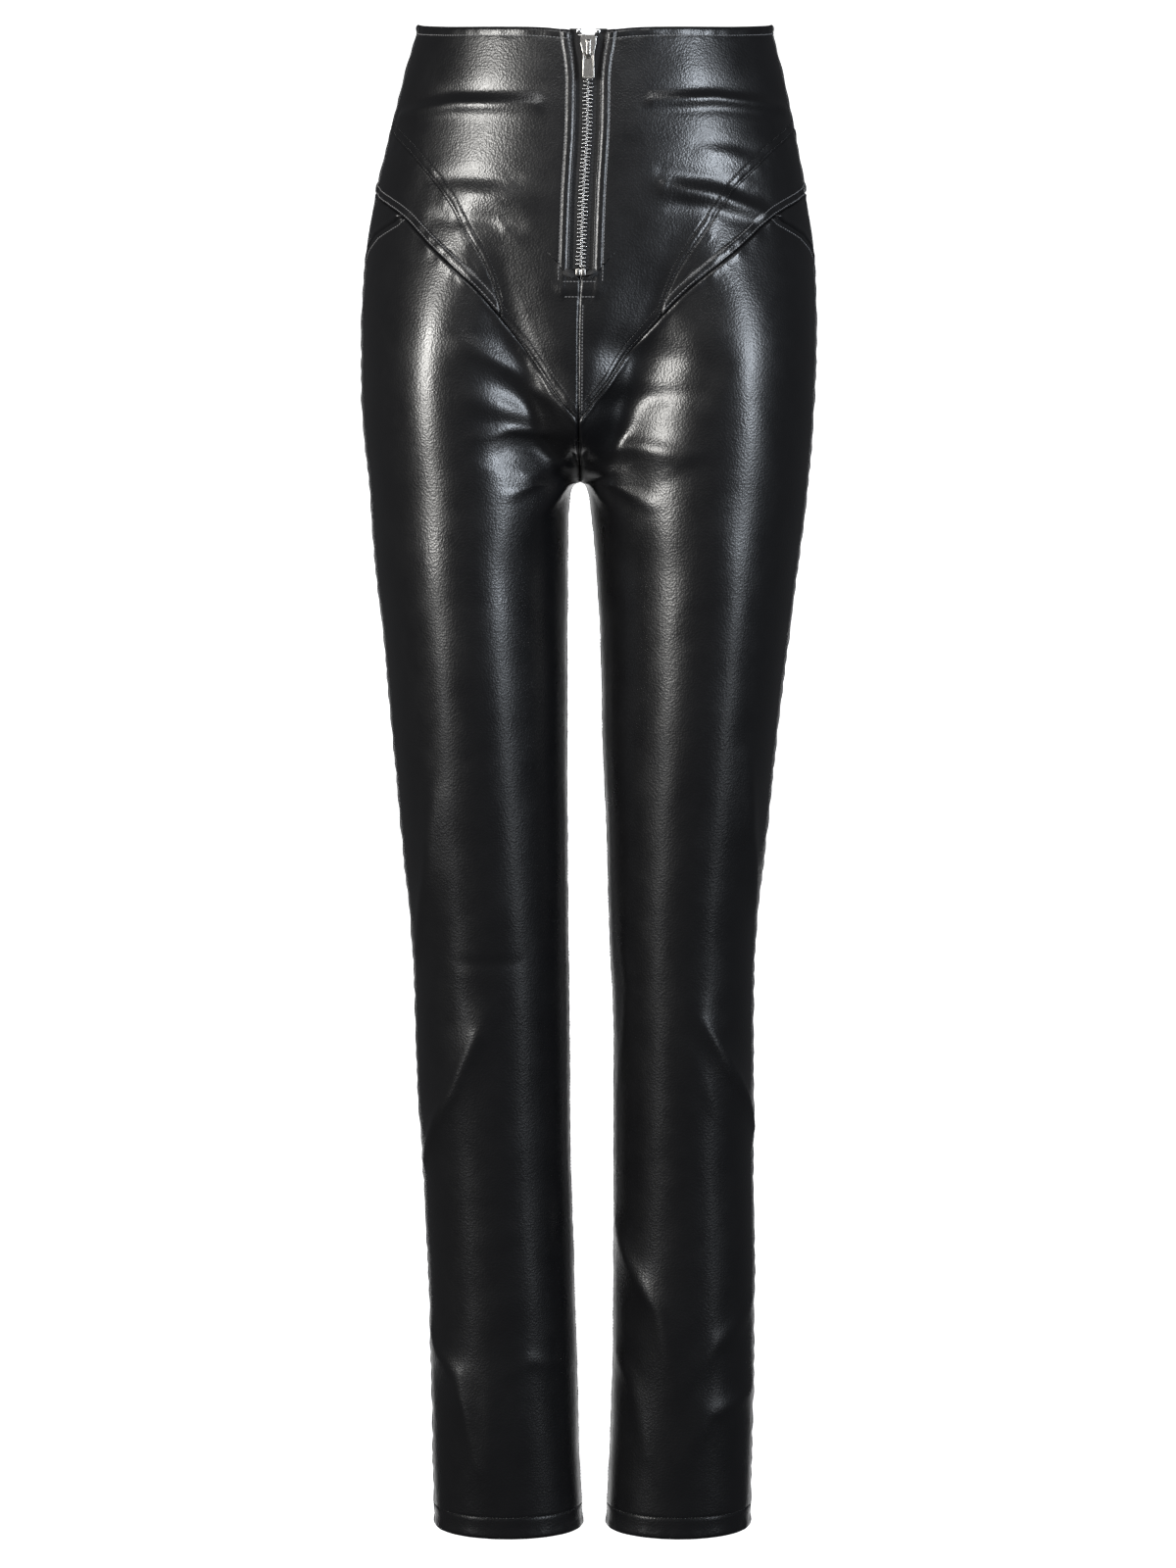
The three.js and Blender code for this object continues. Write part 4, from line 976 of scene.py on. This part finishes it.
def zipTape(side, start, end, outer, inner, face, thick):
    drop = np.concatenate([np.linspace(start, 20, 16), np.linspace(22, end, 60)])
    nearEdge = parting(drop) + inner
    t = np.linspace(0, 1, 8)[:, None]
    offset = nearEdge[None, :] + (outer - nearEdge)[None, :] * t
    points = zipPoints(side * offset, np.broadcast_to(drop[None, :], offset.shape), face + 0 * offset)
    piece = gridMesh(f"zip_tape_cloth_{sideName[side]}", (points[::-1] if side > 0 else points) / 1000)
    piece.data.materials.append(tapeMaterial)
    wall = piece.modifiers.new("wall", "SOLIDIFY")
    wall.thickness = thick / 1000
    wall.offset = -1
    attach(piece, "garment")
    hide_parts(f"zip_tape_{sideName[side]}")


def blocks(name, centre, axes, size, material, power=0.35):
    # Many rounded blocks: a ball of 6 x 8 faces whose coordinates are drawn out towards a box by
    # sign(c) * |c|^power, scaled by the half sizes and set along each block's three axes.
    ring, turn = np.linspace(0, np.pi, 7), np.arange(8) * np.pi / 4 + np.pi / 8
    ball = np.stack([
        np.sin(ring)[:, None] * np.cos(turn), np.sin(ring)[:, None] * np.sin(turn),
        np.cos(ring)[:, None] + 0 * turn], -1)
    ball = np.sign(ball) * np.abs(ball) ** power
    local = (ball[None] * np.asarray(size)[:, None, None, :] / 2).reshape(len(centre), -1, 3)
    points = centre[:, None, :] + np.einsum("npk,nkj->npj", local, axes)
    i, j = np.meshgrid(np.arange(6), np.arange(8), indexing="ij")
    one = np.stack([i * 8 + j, i * 8 + (j + 1) % 8, (i + 1) * 8 + (j + 1) % 8, (i + 1) * 8 + j], -1).reshape(-1, 4)
    quads = (one[None] + 56 * np.arange(len(centre))[:, None, None]).reshape(-1, 4)
    piece = quadMesh(name, points.reshape(-1, 3) / 1000, quads[:, ::-1])
    piece.data.materials.append(material)
    return piece


def zipAxes(drop):
    # Across, down the zip and out of it, for each drop.
    down = zipPoints(0.0 * drop, drop + 1.5, 0.0 * drop) - zipPoints(0.0 * drop, drop - 1.5, 0.0 * drop)
    down[:, 0] = 0
    down /= np.linalg.norm(down, axis=1, keepdims=True)
    across = np.zeros_like(down)
    across[:, 0] = 1
    return np.stack([across, down, np.cross(down, across)], 1)


def zipTeeth(side, first, last, pitch, thick, outer, reach):
    # A row of teeth from the tape's edge past the centre line, half a pitch apart from the other row;
    # the last blocks at the top are its stop.
    drop = np.arange(first, last, pitch) + (pitch / 2 if side > 0 else 0)
    drop = drop[drop < last]
    shift = parting(drop) - 0.15
    inside, outside = -reach + shift, outer + shift
    axes = zipAxes(drop)
    centre = zipPoints(side * (inside + outside) / 2, drop, -1.05 + 0 * drop)
    size = np.stack([outside - inside, 0 * drop + thick, 0 * drop + 2.2], 1)
    stopDrop = np.array([3.5])
    stopAxes = zipAxes(stopDrop)
    stopCentre = zipPoints(side * (parting(stopDrop) + 1.7), stopDrop, 0 * stopDrop - 0.7)
    piece = blocks(
        f"zip_row_{sideName[side]}", np.concatenate([centre, stopCentre]), np.concatenate([axes, stopAxes]),
        np.concatenate([size, [[3.3, 3.4, 3.1]]]), toothMaterial)
    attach(piece, "garment")
    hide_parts(f"zip_teeth_{sideName[side]}")


def bottomStop():
    # A box of two lobes with a plate across them.
    drop = np.array([162.0, 162.0, 162.0])
    centre = zipPoints(np.array([-1.75, 1.75, 0.0]), drop, np.array([-0.75, -0.75, -0.9]))
    size = [[3.3, 5.1, 2.9], [3.3, 5.1, 2.9], [4.0, 3.2, 2.7]]
    piece = blocks("zip_stop", centre, zipAxes(drop), size, metalMaterial, 0.3)
    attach(piece, "garment")
    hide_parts("zip_bottom_stop")


def softenedCopy(node, name, body, width):
    # The CAD shape with its points merged and its edges rounded.
    import bmesh
    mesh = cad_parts[node].data.copy()
    shape = bmesh.new()
    shape.from_mesh(mesh)
    bmesh.ops.remove_doubles(shape, verts=shape.verts, dist=1e-6)
    bmesh.ops.dissolve_limit(shape, angle_limit=0.02, verts=shape.verts, edges=shape.edges)
    shape.to_mesh(mesh)
    shape.free()
    mesh.materials.clear()
    mesh.materials.append(metalMaterial)
    piece = bpy.data.objects.new(name, mesh)
    bpy.context.scene.collection.objects.link(piece)
    soft = piece.modifiers.new("edges", "BEVEL")
    soft.width = width
    soft.segments = 2
    soft.limit_method = "ANGLE"
    soft.angle_limit = math.radians(30)
    soft.harden_normals = False
    mesh.polygons.foreach_set("use_smooth", np.zeros(len(mesh.polygons), dtype=bool))
    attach(piece, body)
    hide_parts(node)
    return piece


for side in (-1, 1):
    zipTape(side, **zipSettings["tape"])
    zipTeeth(side, **zipSettings["teeth"])
bottomStop()
softenedCopy("zip_slider", "zip_slider_body", "garment", 0.00028)
softenedCopy("pull_tab", "zip_pull_tab", "pull_tab", 0.00022)


def pullTabRim(axisAt, axisOut, above, width, length, thickness, bar, rise):
    # A low raised bar round the tab's front face: a half-round profile along its clipped rectangle.
    half, clip = width / 2 - bar / 2 - 0.12, 0.75
    top, low = -above + bar / 2 + 0.12, length - above - bar / 2 - 0.12
    corners = np.array([
        [-half + clip, top], [half - clip, top], [half, top + clip], [half, low - clip],
        [half - clip, low], [-half + clip, low], [-half, low - clip], [-half, top + clip]])
    before, after = corners - np.roll(corners, 1, 0), np.roll(corners, -1, 0) - corners
    turn = [v / np.linalg.norm(v, axis=1, keepdims=True) for v in (before, after)]
    mitre = turn[0] + turn[1]
    mitre /= np.linalg.norm(mitre, axis=1, keepdims=True)
    stretch = 1 / (mitre * turn[0]).sum(1)
    outward = np.stack([mitre[:, 1], -mitre[:, 0]], 1) * stretch[:, None]
    profile = np.linspace(-0.15, np.pi + 0.15, 9)
    aside, up = np.cos(profile) * bar / 2, np.sin(profile) * rise
    flat = corners[:, None, :] + outward[:, None, :] * aside[None, :, None]
    points = sliderPoints(
        flat[..., 0], axisAt + flat[..., 1], axisOut + thickness / 2 + np.broadcast_to(up, flat.shape[:2]))
    piece = gridMesh("zip_pull_tab_rim", points / 1000, closeColumns=True)
    piece.data.materials.append(metalMaterial)
    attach(piece, "pull_tab")


pullTabRim(**zipSettings["tab"])
